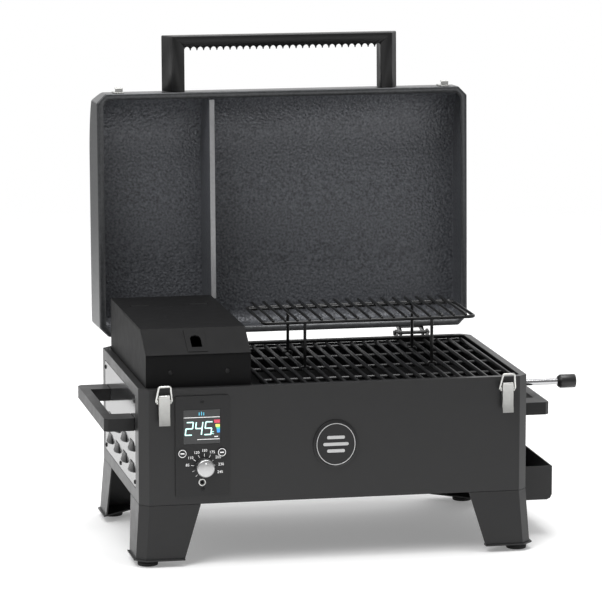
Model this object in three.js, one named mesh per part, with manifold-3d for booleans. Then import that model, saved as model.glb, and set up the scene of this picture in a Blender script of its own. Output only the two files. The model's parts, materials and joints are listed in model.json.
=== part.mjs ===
// Portable pellet smoker grill: a sheet metal cabinet on four splayed legs, a lid that opens on two
// rear hinges, a pellet hopper on the left and a cooking chamber on the right. Millimetres, +Z up,
// the front faces -Y. The lid is drawn closed and then swung open about its hinge pins.
import * as THREE from 'three';
import { mergeVertices } from 'three/addons/utils/BufferGeometryUtils.js';
import { ConvexGeometry } from 'three/addons/geometries/ConvexGeometry.js';
import Module from 'manifold-3d';

// Clearance between pieces that touch, and the sheet that most of the grill is folded from.
const GAP = 0.3;
const SHEET = 2;
const THIN = 1.5;

// Cabinet.
const BODY_WIDTH = 520;
const BODY_DEPTH = 330;
const BODY_BOTTOM = 81;
const RIM = 235;
const CORNER = 12;
const RIM_FLANGE = 10;
const BOTTOM_FLANGE = 16;
const FRONT = -BODY_DEPTH / 2;
const BACK = BODY_DEPTH / 2;
const SIDE = BODY_WIDTH / 2;
const BACK_WALL_X = 246;
const BACK_WALL_Z = [89, 229];
const VENT_Y = [-128.5, 133.5];
const VENT_Z = [97.5, 221.5];
const SMOKE_SLOTS = 5;
const SMOKE_LENGTH = 40;
const SMOKE_PITCH = 54;
const SMOKE_X = -60;
const SMOKE_Z = [178, 185];

// Legs and feet: the legs lean out by LEG_SPLAY between the cabinet and the foot plate.
const LEG_SPLAY = 5;
const LEG_BOTTOM = 9.5;
const FOOT_RADIUS = 13.5;
const FOOT_HEIGHT = 7.7;
const FOOT_X = 248.4;
const FOOT_Y = 151;

// Lid, measured while closed, and the pins that it turns on.
const LID_WIDTH = 521;
const LID_DEPTH = 336;
const LID_CORNER = 12.4;
const LID_RIM = 236;
const LID_CROWN = 78;
const LID_FRONT_WALL = 32;
const LID_BACK_WALL = 56;
const LID_FLANGE = 9;
const LID_OPEN = 92;
const HINGE_X = 180.5;
const HINGE_Y = 176.2;
const HINGE_Z = 236.9;
const PIN_RADIUS = 2.5;

// Lid handle: a folded channel with a row of scalloped teeth along the inner edge of its grip.
const HANDLE_HALF = 154.3;
const HANDLE_REACH = 77;
const HANDLE_BAR = 16.5;
const HANDLE_CHANNEL = 26;
const HANDLE_FLARE = 11.5;
const TOOTH_COUNT = 30;
const TOOTH_DEPTH = 4.8;

// Side carrying handles.
const CARRY_HALF = 123;
const CARRY_REACH = 40;
const CARRY_TOP = 190;
const CARRY_DROP = 17;
const CARRY_GRIP_HALF = 88;
const CARRY_BAR = 13;

// Hopper: the lid covers it from the front slope to the hinge near the back.
const HOPPER_LEFT = -249.4;
const HOPPER_RIGHT = -110.6;
const HOPPER_FRONT = -150.5;
const HOPPER_BACK = 147;
const HOPPER_TOP = 304.5;
const HOPPER_SLOPE_Y = -107;
const HOPPER_SLOPE_Z = 277.5;
const HOPPER_HINGE_Y = 75.5;

// Cooking chamber.
const BULKHEAD_X = -107;
const FLOOR_Z = 101;
const DEFLECTOR_Z = 193;
const GRATE_TOP = 232.5;
const BAR_RADIUS = 2.9;
const BAR_PITCH = 17.4;
const BAR_COUNT = 20;
const BAR_START = -86;
const RACK_Z = 295;
const RACK_LEG_Y = 76;
const POT_X = 60;
const POT_RADIUS = 50;
const AUGER_Z = 126;
const TUBE_RADIUS = 22;
const TUBE_HOLE = TUBE_RADIUS + 0.6;
const FAN_Y = 95;
const FAN_Z = 122;
const DRAIN_HALF = 32;
const DRAIN_Z = [102.7, 113.5];
const ROD_Y = -40;
const ROD_Z = 201.5;
const ROD_RADIUS = 4.3;

// Front latches, one near each end.
const LATCH_X = 229.2;
const LEVER_PIVOT_Z = 224.5;
const LEVER_PIVOT_Y = FRONT - 5.5;
const LOOP_PIVOT_Z = 219.5;
const LOOP_PIVOT_Y = FRONT - 7;

// Control panel, badge and mains inlet.
const PANEL_X = [-213.7, -142.8];
const PANEL_Z = [92, 225];
const PANEL_FACE = FRONT - GAP - SHEET;
const DISPLAY_X = [-203.4, -154.1];
const DISPLAY_Z = [161, 207];
const KNOB_X = -175.7;
const KNOB_Z = 130.8;
const BUTTON_X = { left: -204.8, right: -152.6 };
const BUTTON_Z = 149.6;
const SOCKET_X = -178.7;
const SOCKET_Z = 110.5;
const BADGE_X = -0.5;
const BADGE_Z = 153.8;
const INLET_X = -200;
const INLET_Z = 111;

const wasm = await Module();
wasm.setup();

const MATERIALS = {
  powder_coat: { color: 0x3b3c3d, metalness: 0.3, roughness: 0.55 },
  dark_coat: { color: 0x242526, metalness: 0.3, roughness: 0.5 },
  hammered_enamel: { color: 0x4a4c50, metalness: 0.35, roughness: 0.45 },
  porcelain: { color: 0x151515, metalness: 0.1, roughness: 0.35 },
  bare_steel: { color: 0xb9bbbd, metalness: 0.9, roughness: 0.35 },
  nickel: { color: 0xc9c9c4, metalness: 0.9, roughness: 0.3 },
  chrome: { color: 0xe2e4e6, metalness: 1, roughness: 0.1 },
  rubber: { color: 0x151515, metalness: 0, roughness: 0.9 },
  black_plastic: { color: 0x1b1b1c, metalness: 0, roughness: 0.5 },
  display_lens: { color: 0x1d2226, metalness: 0, roughness: 0.15 },
  white_plastic: { color: 0xe4e4e0, metalness: 0, roughness: 0.5 },
};

const materials = {};
for (const [name, look] of Object.entries(MATERIALS)) {
  materials[name] = new THREE.MeshStandardMaterial({ name, ...look });
}

const group = new THREE.Group();
group.name = 'pellet_grill';

// Turns a closed geometry into a solid that can be joined and cut.
function solid(geometry) {
  const bare = geometry.clone();
  bare.deleteAttribute('normal');
  bare.deleteAttribute('uv');
  const merged = mergeVertices(bare, 1e-4);
  const vertices = new Float32Array(merged.attributes.position.array);
  const triangles = new Uint32Array(merged.index.array);
  if (volumeOf(vertices, triangles) < 0) {
    triangles.reverse();
  }
  return new wasm.Manifold(
    new wasm.Mesh({ numProp: 3, vertProperties: vertices, triVerts: triangles }),
  );
}

function volumeOf(vertices, triangles) {
  const corner = (i) => new THREE.Vector3().fromArray(vertices, 3 * triangles[i]);
  let sum = 0;
  for (let i = 0; i < triangles.length; i += 3) {
    sum += corner(i).dot(corner(i + 1).cross(corner(i + 2)));
  }
  return sum / 6;
}

function join(...solids) {
  return solids.reduce((a, b) => a.add(b));
}

function cut(body, ...tools) {
  return tools.reduce((a, b) => a.subtract(b), body);
}

// Adds one named piece to the grill. A transform is applied to its finished shape.
function piece(name, material, body, transform) {
  const { vertProperties, triVerts } = body.getMesh();
  const geometry = new THREE.BufferGeometry();
  geometry.setAttribute('position', new THREE.BufferAttribute(new Float32Array(vertProperties), 3));
  geometry.setIndex(new THREE.BufferAttribute(new Uint32Array(triVerts), 1));
  if (transform) {
    geometry.applyMatrix4(transform);
  }
  const mesh = new THREE.Mesh(geometry.toNonIndexed(), materials[material]);
  mesh.geometry.computeVertexNormals();
  mesh.name = name;
  group.add(mesh);
  return mesh;
}

function shapeOf(points) {
  return new THREE.Shape(points.map(([u, v]) => new THREE.Vector2(u, v)));
}

// Prisms: an outline drawn in one plane and extruded along the axis in the name.
function prismZ(points, z0, z1) {
  const geometry = new THREE.ExtrudeGeometry(shapeOf(points), { depth: z1 - z0, bevelEnabled: false });
  return solid(geometry.translate(0, 0, z0));
}

function prismX(points, x0, x1) {
  const geometry = new THREE.ExtrudeGeometry(shapeOf(points), { depth: x1 - x0, bevelEnabled: false });
  const turn = new THREE.Matrix4().makeBasis(
    new THREE.Vector3(0, 1, 0),
    new THREE.Vector3(0, 0, 1),
    new THREE.Vector3(1, 0, 0),
  );
  return solid(geometry.applyMatrix4(turn).translate(x0, 0, 0));
}

function prismY(points, y0, y1) {
  const geometry = new THREE.ExtrudeGeometry(shapeOf(points), { depth: y1 - y0, bevelEnabled: false });
  const turn = new THREE.Matrix4().makeBasis(
    new THREE.Vector3(1, 0, 0),
    new THREE.Vector3(0, 0, 1),
    new THREE.Vector3(0, -1, 0),
  );
  return solid(geometry.applyMatrix4(turn).translate(0, y1, 0));
}

function block(x0, x1, y0, y1, z0, z1) {
  const geometry = new THREE.BoxGeometry(x1 - x0, y1 - y0, z1 - z0);
  return solid(geometry.translate((x0 + x1) / 2, (y0 + y1) / 2, (z0 + z1) / 2));
}

// A round bar from one point to another.
function bar(from, to, radius, sides = 12) {
  const a = new THREE.Vector3(...from);
  const b = new THREE.Vector3(...to);
  const geometry = new THREE.CylinderGeometry(radius, radius, a.distanceTo(b), sides);
  const turn = new THREE.Quaternion().setFromUnitVectors(
    new THREE.Vector3(0, 1, 0),
    b.clone().sub(a).normalize(),
  );
  geometry.applyQuaternion(turn);
  const middle = a.add(b).multiplyScalar(0.5);
  return solid(geometry.translate(middle.x, middle.y, middle.z));
}

// A wire bent through a list of points, with a ball at every bend.
function wire(points, radius, sides = 8) {
  const parts = [];
  for (let i = 1; i < points.length; i += 1) {
    parts.push(bar(points[i - 1], points[i], radius, sides));
  }
  for (const point of points.slice(1, -1)) {
    parts.push(solid(new THREE.SphereGeometry(radius, sides, 6).translate(...point)));
  }
  return join(...parts);
}

// A body of revolution about +Z: the profile lists radius and height, and starts and ends on the axis.
function turned(profile, sides = 24) {
  const points = profile.map(([r, z]) => new THREE.Vector2(r, z));
  return solid(new THREE.LatheGeometry(points, sides).rotateX(Math.PI / 2));
}

// A rectangle with its four corners cut off at 45 degrees, drawn inset from the full size.
function chamfered(width, depth, corner, inset = 0) {
  const w = width / 2 - inset;
  const d = depth / 2 - inset;
  const c = corner - inset * (2 - Math.SQRT2);
  return [[w - c, -d], [w, c - d], [w, d - c], [w - c, d], [c - w, d], [-w, d - c], [-w, c - d], [c - w, -d]];
}

// A solid between two level polygons with the same number of corners.
function loft(lower, z0, upper, z1) {
  const n = lower.length;
  const ring = (points, z) => points.map(([x, y]) => [x, y, z]);
  const positions = [...ring(lower, z0), ...ring(upper, z1)].flat();
  const flat = lower.map(([x, y]) => new THREE.Vector2(x, y));
  const indices = [];
  for (const [a, b, c] of THREE.ShapeUtils.triangulateShape(flat, [])) {
    indices.push(a, c, b, n + a, n + b, n + c);
  }
  const clockwise = THREE.ShapeUtils.isClockWise(flat);
  for (let i = 0; i < n; i += 1) {
    const j = (i + 1) % n;
    const sides = [i, j, n + j, i, n + j, n + i];
    indices.push(...(clockwise ? sides.reverse() : sides));
  }
  const geometry = new THREE.BufferGeometry();
  geometry.setAttribute('position', new THREE.Float32BufferAttribute(positions, 3));
  geometry.setIndex(indices);
  return solid(geometry);
}

function ellipse(cx, cy, rx, ry, count = 32) {
  const points = [];
  for (let i = 0; i < count; i += 1) {
    const angle = (2 * Math.PI * i) / count;
    points.push([cx + rx * Math.cos(angle), cy + ry * Math.sin(angle)]);
  }
  return points;
}

// Mirrors a list of points across the plane x = 0, keeping its direction of travel.
function flipX(points, side) {
  return side > 0 ? points : points.map(([x, ...rest]) => [-x, ...rest]).reverse();
}

const SIDES = { left: -1, right: 1 };
const ENDS = { front: -1, back: 1 };

function bodyOutline(inset) {
  return chamfered(BODY_WIDTH, BODY_DEPTH, CORNER, inset);
}

// Cabinet: a chamfered tube of sheet with a flange folded inwards at the rim and at the bottom.
// Its back is open, and a separate sheet fills it.
function cabinet() {
  const tube = cut(
    prismZ(bodyOutline(0), BODY_BOTTOM, RIM),
    prismZ(bodyOutline(SHEET), BODY_BOTTOM - 1, RIM + 1),
  );
  const rimFlange = cut(
    prismZ(bodyOutline(SHEET / 2), RIM - SHEET, RIM),
    prismZ(chamfered(BODY_WIDTH, BODY_DEPTH, CORNER - 2.5, RIM_FLANGE), RIM - SHEET - 1, RIM + 1),
  );
  const bottomFlange = cut(
    prismZ(bodyOutline(SHEET / 2), BODY_BOTTOM, BODY_BOTTOM + SHEET),
    prismZ(bodyOutline(BOTTOM_FLANGE), BODY_BOTTOM - 1, BODY_BOTTOM + SHEET + 1),
  );
  const openings = [
    block(-SIDE - 5, -SIDE + 5, ...VENT_Y, ...VENT_Z),
    block(PANEL_X[0] + 1.2, PANEL_X[1] - 1.2, FRONT - 5, FRONT + 5, PANEL_Z[0] + 6, PANEL_Z[1] - 6),
    bar([SIDE - 10, ROD_Y, ROD_Z], [SIDE + 10, ROD_Y, ROD_Z], ROD_RADIUS + 1, 16),
    block(SIDE - 5, SIDE + 5, -DRAIN_HALF, DRAIN_HALF, ...DRAIN_Z),
    block(-BACK_WALL_X, BACK_WALL_X, BACK - 5, BACK + 5, ...BACK_WALL_Z),
  ];
  piece('cabinet_shell', 'powder_coat', cut(join(tube, rimFlange, bottomFlange), ...openings));
  const cover = prismZ(bodyOutline(SHEET + 0.7), BODY_BOTTOM + SHEET + GAP, BODY_BOTTOM + SHEET + GAP + THIN);
  piece('bottom_cover', 'dark_coat', cover);
}

// Sheet that closes the back, with the smoke slots, the inlet hole and the rear grate ledge welded on.
function backWall() {
  const [z0, z1] = BACK_WALL_Z;
  const edge = BACK_WALL_X - GAP;
  const openings = [
    block(INLET_X - 14.6, INLET_X + 14.6, BACK - 5, BACK + 5, INLET_Z - 10.6, INLET_Z + 10.6),
  ];
  for (let i = 0; i < SMOKE_SLOTS; i += 1) {
    const x = SMOKE_X + SMOKE_PITCH * i;
    openings.push(block(x, x + SMOKE_LENGTH, BACK - 5, BACK + 5, ...SMOKE_Z));
  }
  const sheet = cut(block(-edge, edge, BACK - SHEET, BACK, z0 + GAP, z1 - GAP), ...openings);
  piece('cabinet_back', 'powder_coat', join(sheet, grateLedge(1, BACK - SHEET + 0.5, 245)));
}

// Angle that the cooking grate rests on, along the wall at y = end * wall.
function grateLedge(end, wall, x1) {
  const outline = [
    [wall, 212],
    [wall, 226.4],
    [wall - 15, 226.4],
    [wall - 15, 224.9],
    [wall - THIN, 224.9],
    [wall - THIN, 212],
  ];
  return prismX(outline.map(([y, z]) => [end * y, z]), -104, x1);
}

// Louvred panel that closes the opening on the left side. Its scoops are open underneath.
function ventPanel() {
  const panel = (x0, x1, grow) => {
    return block(x0, x1, VENT_Y[0] - grow, VENT_Y[1] + grow, VENT_Z[0] - grow, VENT_Z[1] + grow);
  };
  const face = panel(-SIDE, -SIDE + SHEET + 0.5, -0.5);
  const backing = panel(-SIDE + SHEET + GAP, -SIDE + SHEET + GAP + THIN, 7);
  const hoods = [];
  const hollows = [];
  for (const z of [122, 150]) {
    for (let i = 0; i < 4; i += 1) {
      const y = -99 + 62.7 * i;
      hoods.push(scoop(y, z, 0));
      hollows.push(scoop(y, z, 1.2));
    }
  }
  piece('vent_panel', 'powder_coat', cut(join(face, backing, ...hoods), ...hollows));
}

function scoop(y, z, inset) {
  const back = inset > 0 ? -SIDE + 6 : -SIDE + 1;
  const low = z - 6 - inset;
  const high = z + 6 - inset;
  const corners = [];
  for (const side of [-1, 1]) {
    corners.push(new THREE.Vector3(back, y + side * (19 - inset), low));
    corners.push(new THREE.Vector3(back, y + side * (15 - inset), high));
    corners.push(new THREE.Vector3(-SIDE - 5.5 + inset, y + side * (12 - inset), low));
    corners.push(new THREE.Vector3(-SIDE - 4 + inset, y + side * (10 - inset), low + 4));
  }
  return solid(new ConvexGeometry(corners));
}

// One leg: front, chamfer and side faces folded from one sheet, with a bolting flange and a foot plate.
function leg(name, side, end) {
  const top = [[180, 165], [248, 165], [260, 153], [260, 84]];
  const bottom = [
    [202, 165 + LEG_SPLAY - 1],
    [248 + LEG_SPLAY, 165 + LEG_SPLAY - 1],
    [260 + LEG_SPLAY, 153 + LEG_SPLAY - 1],
    [260 + LEG_SPLAY, 103],
  ];
  const place = (points) => points.map(([x, y]) => [side * x, end * y]);
  const ribbon = (outer) => {
    const [a, b, c, d] = outer;
    const inner = [
      [d[0] - SHEET, d[1]],
      [c[0] - SHEET, c[1] - 0.8],
      [b[0] - 0.8, b[1] - SHEET],
      [a[0], a[1] - SHEET],
    ];
    return place([...outer, ...inner]);
  };
  const walls = loft(ribbon(bottom), LEG_BOTTOM, ribbon(top), BODY_BOTTOM - GAP);
  const flange = [[184, 164], [247, 164], [258.5, 152], [258.5, 90], [236, 90], [236, 142], [184, 142]];
  const plate = [[202, 172], [254.2, 172], [268, 158.2], [268, 103], [202, 160]];
  const body = join(
    walls,
    prismZ(place(flange), BODY_BOTTOM - GAP - SHEET, BODY_BOTTOM - GAP),
    prismZ(place(plate), FOOT_HEIGHT + GAP, FOOT_HEIGHT + GAP + THIN + 0.5),
  );
  piece(`leg_${name}`, 'powder_coat', body);
  const foot = turned([
    [0, 0],
    [FOOT_RADIUS - 1, 0],
    [FOOT_RADIUS, 1],
    [FOOT_RADIUS, FOOT_HEIGHT],
    [0, FOOT_HEIGHT],
  ]);
  piece(`foot_${name}`, 'rubber', foot.translate([side * FOOT_X, end * FOOT_Y, 0]));
}

// Side carrying handle: a flat frame with its outer and inner edges folded down, bolted to the side.
function carryHandle(name, side) {
  const inner = SIDE + GAP;
  const outer = SIDE + CARRY_REACH;
  const outline = (inset) => [
    [inner, inset - CARRY_HALF],
    [outer - 5, inset - CARRY_HALF],
    [outer - inset, 5 - CARRY_HALF],
    [outer - inset, CARRY_HALF - 5],
    [outer - 5, CARRY_HALF - inset],
    [inner, CARRY_HALF - inset],
  ];
  const bottom = CARRY_TOP - CARRY_DROP;
  const grip = (grow) => [
    [inner - 1, -CARRY_GRIP_HALF - grow],
    [outer - CARRY_BAR + grow, -CARRY_GRIP_HALF - grow],
    [outer - CARRY_BAR + grow, CARRY_GRIP_HALF + grow],
    [inner - 1, CARRY_GRIP_HALF + grow],
  ];
  const place = (points) => flipX(points, side);
  const channel = cut(
    prismZ(place(outline(SHEET)), bottom - 1, CARRY_TOP - SHEET),
    prismZ(place(grip(SHEET)), bottom - 2, CARRY_TOP),
  );
  const tray = cut(
    prismZ(place(outline(0)), bottom, CARRY_TOP),
    channel,
    prismZ(place(grip(0)), bottom - 1, CARRY_TOP + 1),
  );
  const tabs = [-1, 1].map((end) => {
    const ys = [end * (CARRY_GRIP_HALF + 3), end * (CARRY_HALF - 1)].sort((a, b) => a - b);
    const xs = [side * inner, side * (inner + SHEET)].sort((a, b) => a - b);
    return block(...xs, ...ys, bottom, CARRY_TOP - 1);
  });
  piece(`carry_handle_${name}`, 'dark_coat', join(tray, ...tabs));
}

// Hinge bracket on the cabinet back with two ears, and the pin through them.
function hingeBracket(name, x) {
  const back = BACK + GAP;
  const plate = block(x - 22.5, x + 22.5, back, back + SHEET, 204, 231);
  const ears = [-23.5, 20.5].map((dx) => {
    const outline = [
      [back, 212],
      [HINGE_Y + 4.5, 228],
      ...ellipse(HINGE_Y, HINGE_Z, 4.8, 4.8, 16).filter(([, z]) => z > HINGE_Z - 1),
      [back, 229],
    ];
    return prismX(outline, x + dx, x + dx + 3);
  });
  const hole = bar([x - 30, HINGE_Y, HINGE_Z], [x + 30, HINGE_Y, HINGE_Z], PIN_RADIUS + GAP, 20);
  piece(`hinge_bracket_${name}`, 'bare_steel', cut(join(plate, ...ears), hole));
  const shaft = bar([x - 25, HINGE_Y, HINGE_Z], [x + 25.5, HINGE_Y, HINGE_Z], PIN_RADIUS, 20);
  const head = bar([x - 26.5, HINGE_Y, HINGE_Z], [x - 24, HINGE_Y, HINGE_Z], PIN_RADIUS + 1.2, 20);
  piece(`hinge_pin_${name}`, 'nickel', join(shaft, head));
}

// Hopper: an upper box that rises through the rim opening, a fixed roof at the back, and a funnel below.
function hopper() {
  const t = THIN;
  const outline = [
    [HOPPER_FRONT, 222],
    [HOPPER_FRONT, HOPPER_SLOPE_Z - 1.8],
    [HOPPER_SLOPE_Y, HOPPER_TOP - 2],
    [HOPPER_HINGE_Y - 3.5, HOPPER_TOP - 2],
    [HOPPER_HINGE_Y - 3.5, HOPPER_TOP],
    [HOPPER_BACK, HOPPER_TOP],
    [HOPPER_BACK, 222],
  ];
  const hollow = [
    [HOPPER_FRONT + t, 200],
    [HOPPER_FRONT + t, HOPPER_TOP + 20],
    [HOPPER_HINGE_Y - 5, HOPPER_TOP + 20],
    [HOPPER_HINGE_Y - 5, HOPPER_TOP - t],
    [HOPPER_BACK - t, HOPPER_TOP - t],
    [HOPPER_BACK - t, 200],
  ];
  const box = cut(
    prismX(outline, HOPPER_LEFT, HOPPER_RIGHT),
    prismX(hollow, HOPPER_LEFT + t, HOPPER_RIGHT - t),
  );
  const slots = hopperHinges().map(([x0, x1]) => {
    return block(x0 - 1, x1 + 1, HOPPER_HINGE_Y - 4, HOPPER_HINGE_Y + 4, HOPPER_TOP - 6, HOPPER_TOP + 3);
  });
  const rectangle = (x0, x1, y0, y1) => [[x0, y0], [x1, y0], [x1, y1], [x0, y1]];
  const mouth = (inset) => rectangle(
    HOPPER_LEFT + inset,
    HOPPER_RIGHT - inset,
    HOPPER_FRONT + inset,
    HOPPER_BACK - inset,
  );
  const outlet = (inset) => rectangle(-182 + inset, -124 - inset, -19 + inset, 19 - inset);
  const funnel = cut(
    loft(outlet(0), 150, mouth(0), 222.5),
    loft(outlet(2.5), 149.9, mouth(2.5), 222.6),
  );
  piece('hopper_box', 'dark_coat', join(cut(box, ...slots), funnel));
}

function hopperHinges() {
  return [[-233, -208], [-153, -128]];
}

// Hopper lid: top and sloping front folded from one sheet, an arched finger pull, and rolled knuckles.
function hopperLid() {
  const t = THIN;
  const rear = HOPPER_HINGE_Y - 4.2;
  const outline = [
    [rear, HOPPER_TOP],
    [HOPPER_SLOPE_Y - 0.4, HOPPER_TOP],
    [HOPPER_FRONT - 2, HOPPER_SLOPE_Z],
    [HOPPER_FRONT - 1.2, HOPPER_SLOPE_Z - 1.3],
    [HOPPER_SLOPE_Y, HOPPER_TOP - t],
    [rear, HOPPER_TOP - t],
  ];
  const sheet = prismX(outline, HOPPER_LEFT, HOPPER_RIGHT);
  const middle = (HOPPER_LEFT + HOPPER_RIGHT) / 2;
  const slope = Math.atan2(HOPPER_TOP - HOPPER_SLOPE_Z, HOPPER_SLOPE_Y - HOPPER_FRONT);
  const onSlope = (geometry) => {
    const y = (HOPPER_FRONT - 2 + HOPPER_SLOPE_Y) / 2;
    const z = (HOPPER_SLOPE_Z + HOPPER_TOP) / 2;
    return solid(geometry.rotateX(slope).translate(middle, y, z));
  };
  const plate = onSlope(new THREE.BoxGeometry(27, 44, 1.4).translate(0, 0, 0.4));
  const arch = [[-7, -13], [7, -13], [7, 4], [5, 8], [0, 10], [-5, 8], [-7, 4]];
  const opening = onSlope(
    new THREE.ExtrudeGeometry(shapeOf(arch), { depth: 12, bevelEnabled: false }).translate(0, 0, -6),
  );
  const knuckles = hopperHinges().map(([x0, x1]) => {
    const barrel = bar([x0, HOPPER_HINGE_Y, HOPPER_TOP - 1], [x1, HOPPER_HINGE_Y, HOPPER_TOP - 1], 2.2, 12);
    return join(barrel, block(x0, x1, rear - 1, HOPPER_HINGE_Y, HOPPER_TOP - t, HOPPER_TOP));
  });
  piece('hopper_lid', 'dark_coat', join(cut(join(sheet, plate), opening), ...knuckles));
}

// Pellet feed under the hopper: gear motor, tube and screw, and the fire pot that the screw feeds.
function pelletFeed() {
  const gearbox = join(
    block(-232, -196, -28, 28, BODY_BOTTOM + 4.1, 156),
    bar([-214, 20, AUGER_Z], [-214, 48, AUGER_Z], 17, 20),
  );
  const socket = bar([-205, 0, AUGER_Z], [-190, 0, AUGER_Z], 5.6, 16);
  piece('auger_motor', 'dark_coat', cut(gearbox, socket));
  const tube = cut(
    bar([-194, 0, AUGER_Z], [14, 0, AUGER_Z], TUBE_RADIUS, 24),
    bar([-200, 0, AUGER_Z], [20, 0, AUGER_Z], TUBE_RADIUS - SHEET, 24),
    block(-181, -125, -15, 15, AUGER_Z, AUGER_Z + 30),
  );
  piece('auger_tube', 'bare_steel', tube);
  const shaft = bar([-203, 0, AUGER_Z], [8, 0, AUGER_Z], 5, 12);
  piece('auger_screw', 'bare_steel', join(shaft, flight(-188, 4, 36, 4, 18, 2.6)));
  const inside = POT_RADIUS - SHEET;
  const profile = [[0, 86], [POT_RADIUS, 86], [POT_RADIUS, 155], [inside, 155], [inside, 88], [0, 88]];
  const pot = turned(profile, 32).translate([POT_X, 0, 0]);
  piece('fire_pot', 'bare_steel', cut(pot, bar([-20, 0, AUGER_Z], [40, 0, AUGER_Z], TUBE_HOLE, 24)));
}

// The screw's flight: a rectangular strip wound along X around the auger axis.
function flight(x0, x1, pitch, inner, outer, thickness) {
  const steps = Math.round((12 * (x1 - x0)) / pitch);
  const positions = [];
  for (let i = 0; i <= steps; i += 1) {
    const angle = (2 * Math.PI * i) / 12;
    const x = x0 + ((x1 - x0) * i) / steps;
    for (const [r, dx] of [[inner, -1], [outer, -1], [outer, 1], [inner, 1]]) {
      positions.push(x + (dx * thickness) / 2, r * Math.cos(angle), AUGER_Z + r * Math.sin(angle));
    }
  }
  const indices = [0, 1, 2, 0, 2, 3];
  for (let i = 0; i < steps; i += 1) {
    for (let k = 0; k < 4; k += 1) {
      const a = 4 * i + k;
      const b = 4 * i + ((k + 1) % 4);
      indices.push(a, a + 4, b, b, a + 4, b + 4);
    }
  }
  const end = 4 * steps;
  indices.push(end, end + 2, end + 1, end, end + 3, end + 2);
  const geometry = new THREE.BufferGeometry();
  geometry.setAttribute('position', new THREE.Float32BufferAttribute(positions, 3));
  geometry.setIndex(indices);
  return solid(geometry);
}

// Combustion fan behind the vent panel.
function fan() {
  const y = FAN_Y;
  const z = FAN_Z;
  const frame = cut(
    block(-240, -216, y - 36, y + 36, z - 36.4, z + 36),
    bar([-250, y, z], [-210, y, z], 32, 32),
  );
  const struts = [
    block(-219, -216, y - 34, y + 34, z - 2, z + 2),
    block(-219, -216, y - 2, y + 2, z - 34, z + 34),
  ];
  const hub = bar([-222, y, z], [-216, y, z], 9, 16);
  piece('fan_frame', 'black_plastic', join(frame, ...struts, hub));
  const blades = [];
  for (let i = 0; i < 7; i += 1) {
    const blade = new THREE.BoxGeometry(1.8, 15, 22).rotateZ(0.9).translate(0, 0, 19);
    blades.push(solid(blade.rotateX((2 * Math.PI * i) / 7).translate(-231, y, z)));
  }
  piece('fan_rotor', 'black_plastic', join(bar([-239, y, z], [-223, y, z], 10, 16), ...blades));
}

// Cooking chamber: bulkhead next to the hopper, floor, grease deflector, grate ledges and probe.
function chamber() {
  const bulkhead = cut(
    block(BULKHEAD_X - 1, BULKHEAD_X + 1, -162.4, 162.4, BODY_BOTTOM + 4.1, RIM - SHEET - GAP),
    block(BULKHEAD_X - 5, BULKHEAD_X + 5, -TUBE_HOLE, TUBE_HOLE, AUGER_Z - TUBE_HOLE, AUGER_Z + TUBE_HOLE),
  );
  piece('chamber_bulkhead', 'dark_coat', bulkhead);
  const floor = cut(
    prismZ(bodyOutline(SHEET + 0.6), FLOOR_Z - 1, FLOOR_Z + 1),
    block(-300, BULKHEAD_X + 1 + GAP, -200, 200, 90, 110),
    prismZ(ellipse(POT_X, 0, POT_RADIUS + 0.6, POT_RADIUS + 0.6, 32), 90, 110),
  );
  piece('chamber_floor', 'dark_coat', floor);
  const plate = cut(
    block(-100, 235, -140, 140, DEFLECTOR_Z, DEFLECTOR_Z + 8),
    block(-98, 240, -138, 138, DEFLECTOR_Z + 2, DEFLECTOR_Z + 10),
    ...flameSlots(DEFLECTOR_Z - 1, DEFLECTOR_Z + 5),
  );
  const posts = [];
  for (const x of [-99, 222]) {
    for (const y of [-139.5, 137.5]) {
      posts.push(block(x, x + 12, y, y + 2, FLOOR_Z + 1 + GAP, DEFLECTOR_Z + 1));
    }
  }
  piece('deflector_plate', 'dark_coat', join(plate, ...posts));
  piece('grate_ledge_front', 'dark_coat', grateLedge(-1, BACK - SHEET - 0.4, 246));
  const [probeY, probeZ] = [146, 214];
  const probe = bar([BULKHEAD_X + 1 + GAP, probeY, probeZ], [BULKHEAD_X + 34, probeY, probeZ], 3, 12);
  piece('temperature_probe', 'bare_steel', probe);
}

function flameSlots(z0, z1) {
  const slots = [];
  for (let i = 0; i < 5; i += 1) {
    const x = 22 + 19 * i;
    slots.push(block(x - 4.5, x + 4.5, -34, 34, z0, z1));
  }
  return slots;
}

// Direct-flame slide: a slotted plate on the deflector, worked by a rod through the right side.
function flameSlide() {
  const z0 = DEFLECTOR_Z + 2 + GAP;
  const plate = cut(block(12, 110, -46, 46, z0, z0 + THIN), ...flameSlots(z0 - 1, z0 + 5));
  piece('flame_slide', 'dark_coat', join(plate, block(108, 110, -46, -34, z0, 207)));
  piece('slide_rod', 'chrome', bar([110 + GAP, ROD_Y, ROD_Z], [333, ROD_Y, ROD_Z], ROD_RADIUS, 24));
  const knob = turned([[0, 0], [6.5, 0], [9.3, 3.5], [9.3, 23], [8.2, 24.5], [0, 24.5]], 24);
  const toX = new THREE.Matrix4().makeRotationY(Math.PI / 2).setPosition(333 + GAP, ROD_Y, ROD_Z);
  piece('slide_knob', 'black_plastic', knob, toX);
}

function bushing() {
  const ring = turned([[0, 0], [9, 0], [9, 2.4], [7.5, 4], [0, 4]], 24);
  const hollow = turned([[0, -1], [ROD_RADIUS + 0.4, -1], [ROD_RADIUS + 0.4, 5], [0, 5]], 24);
  const toX = new THREE.Matrix4().makeRotationY(Math.PI / 2).setPosition(SIDE + GAP, ROD_Y, ROD_Z);
  piece('rod_bushing', 'nickel', cut(ring, hollow), toX);
}

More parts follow.
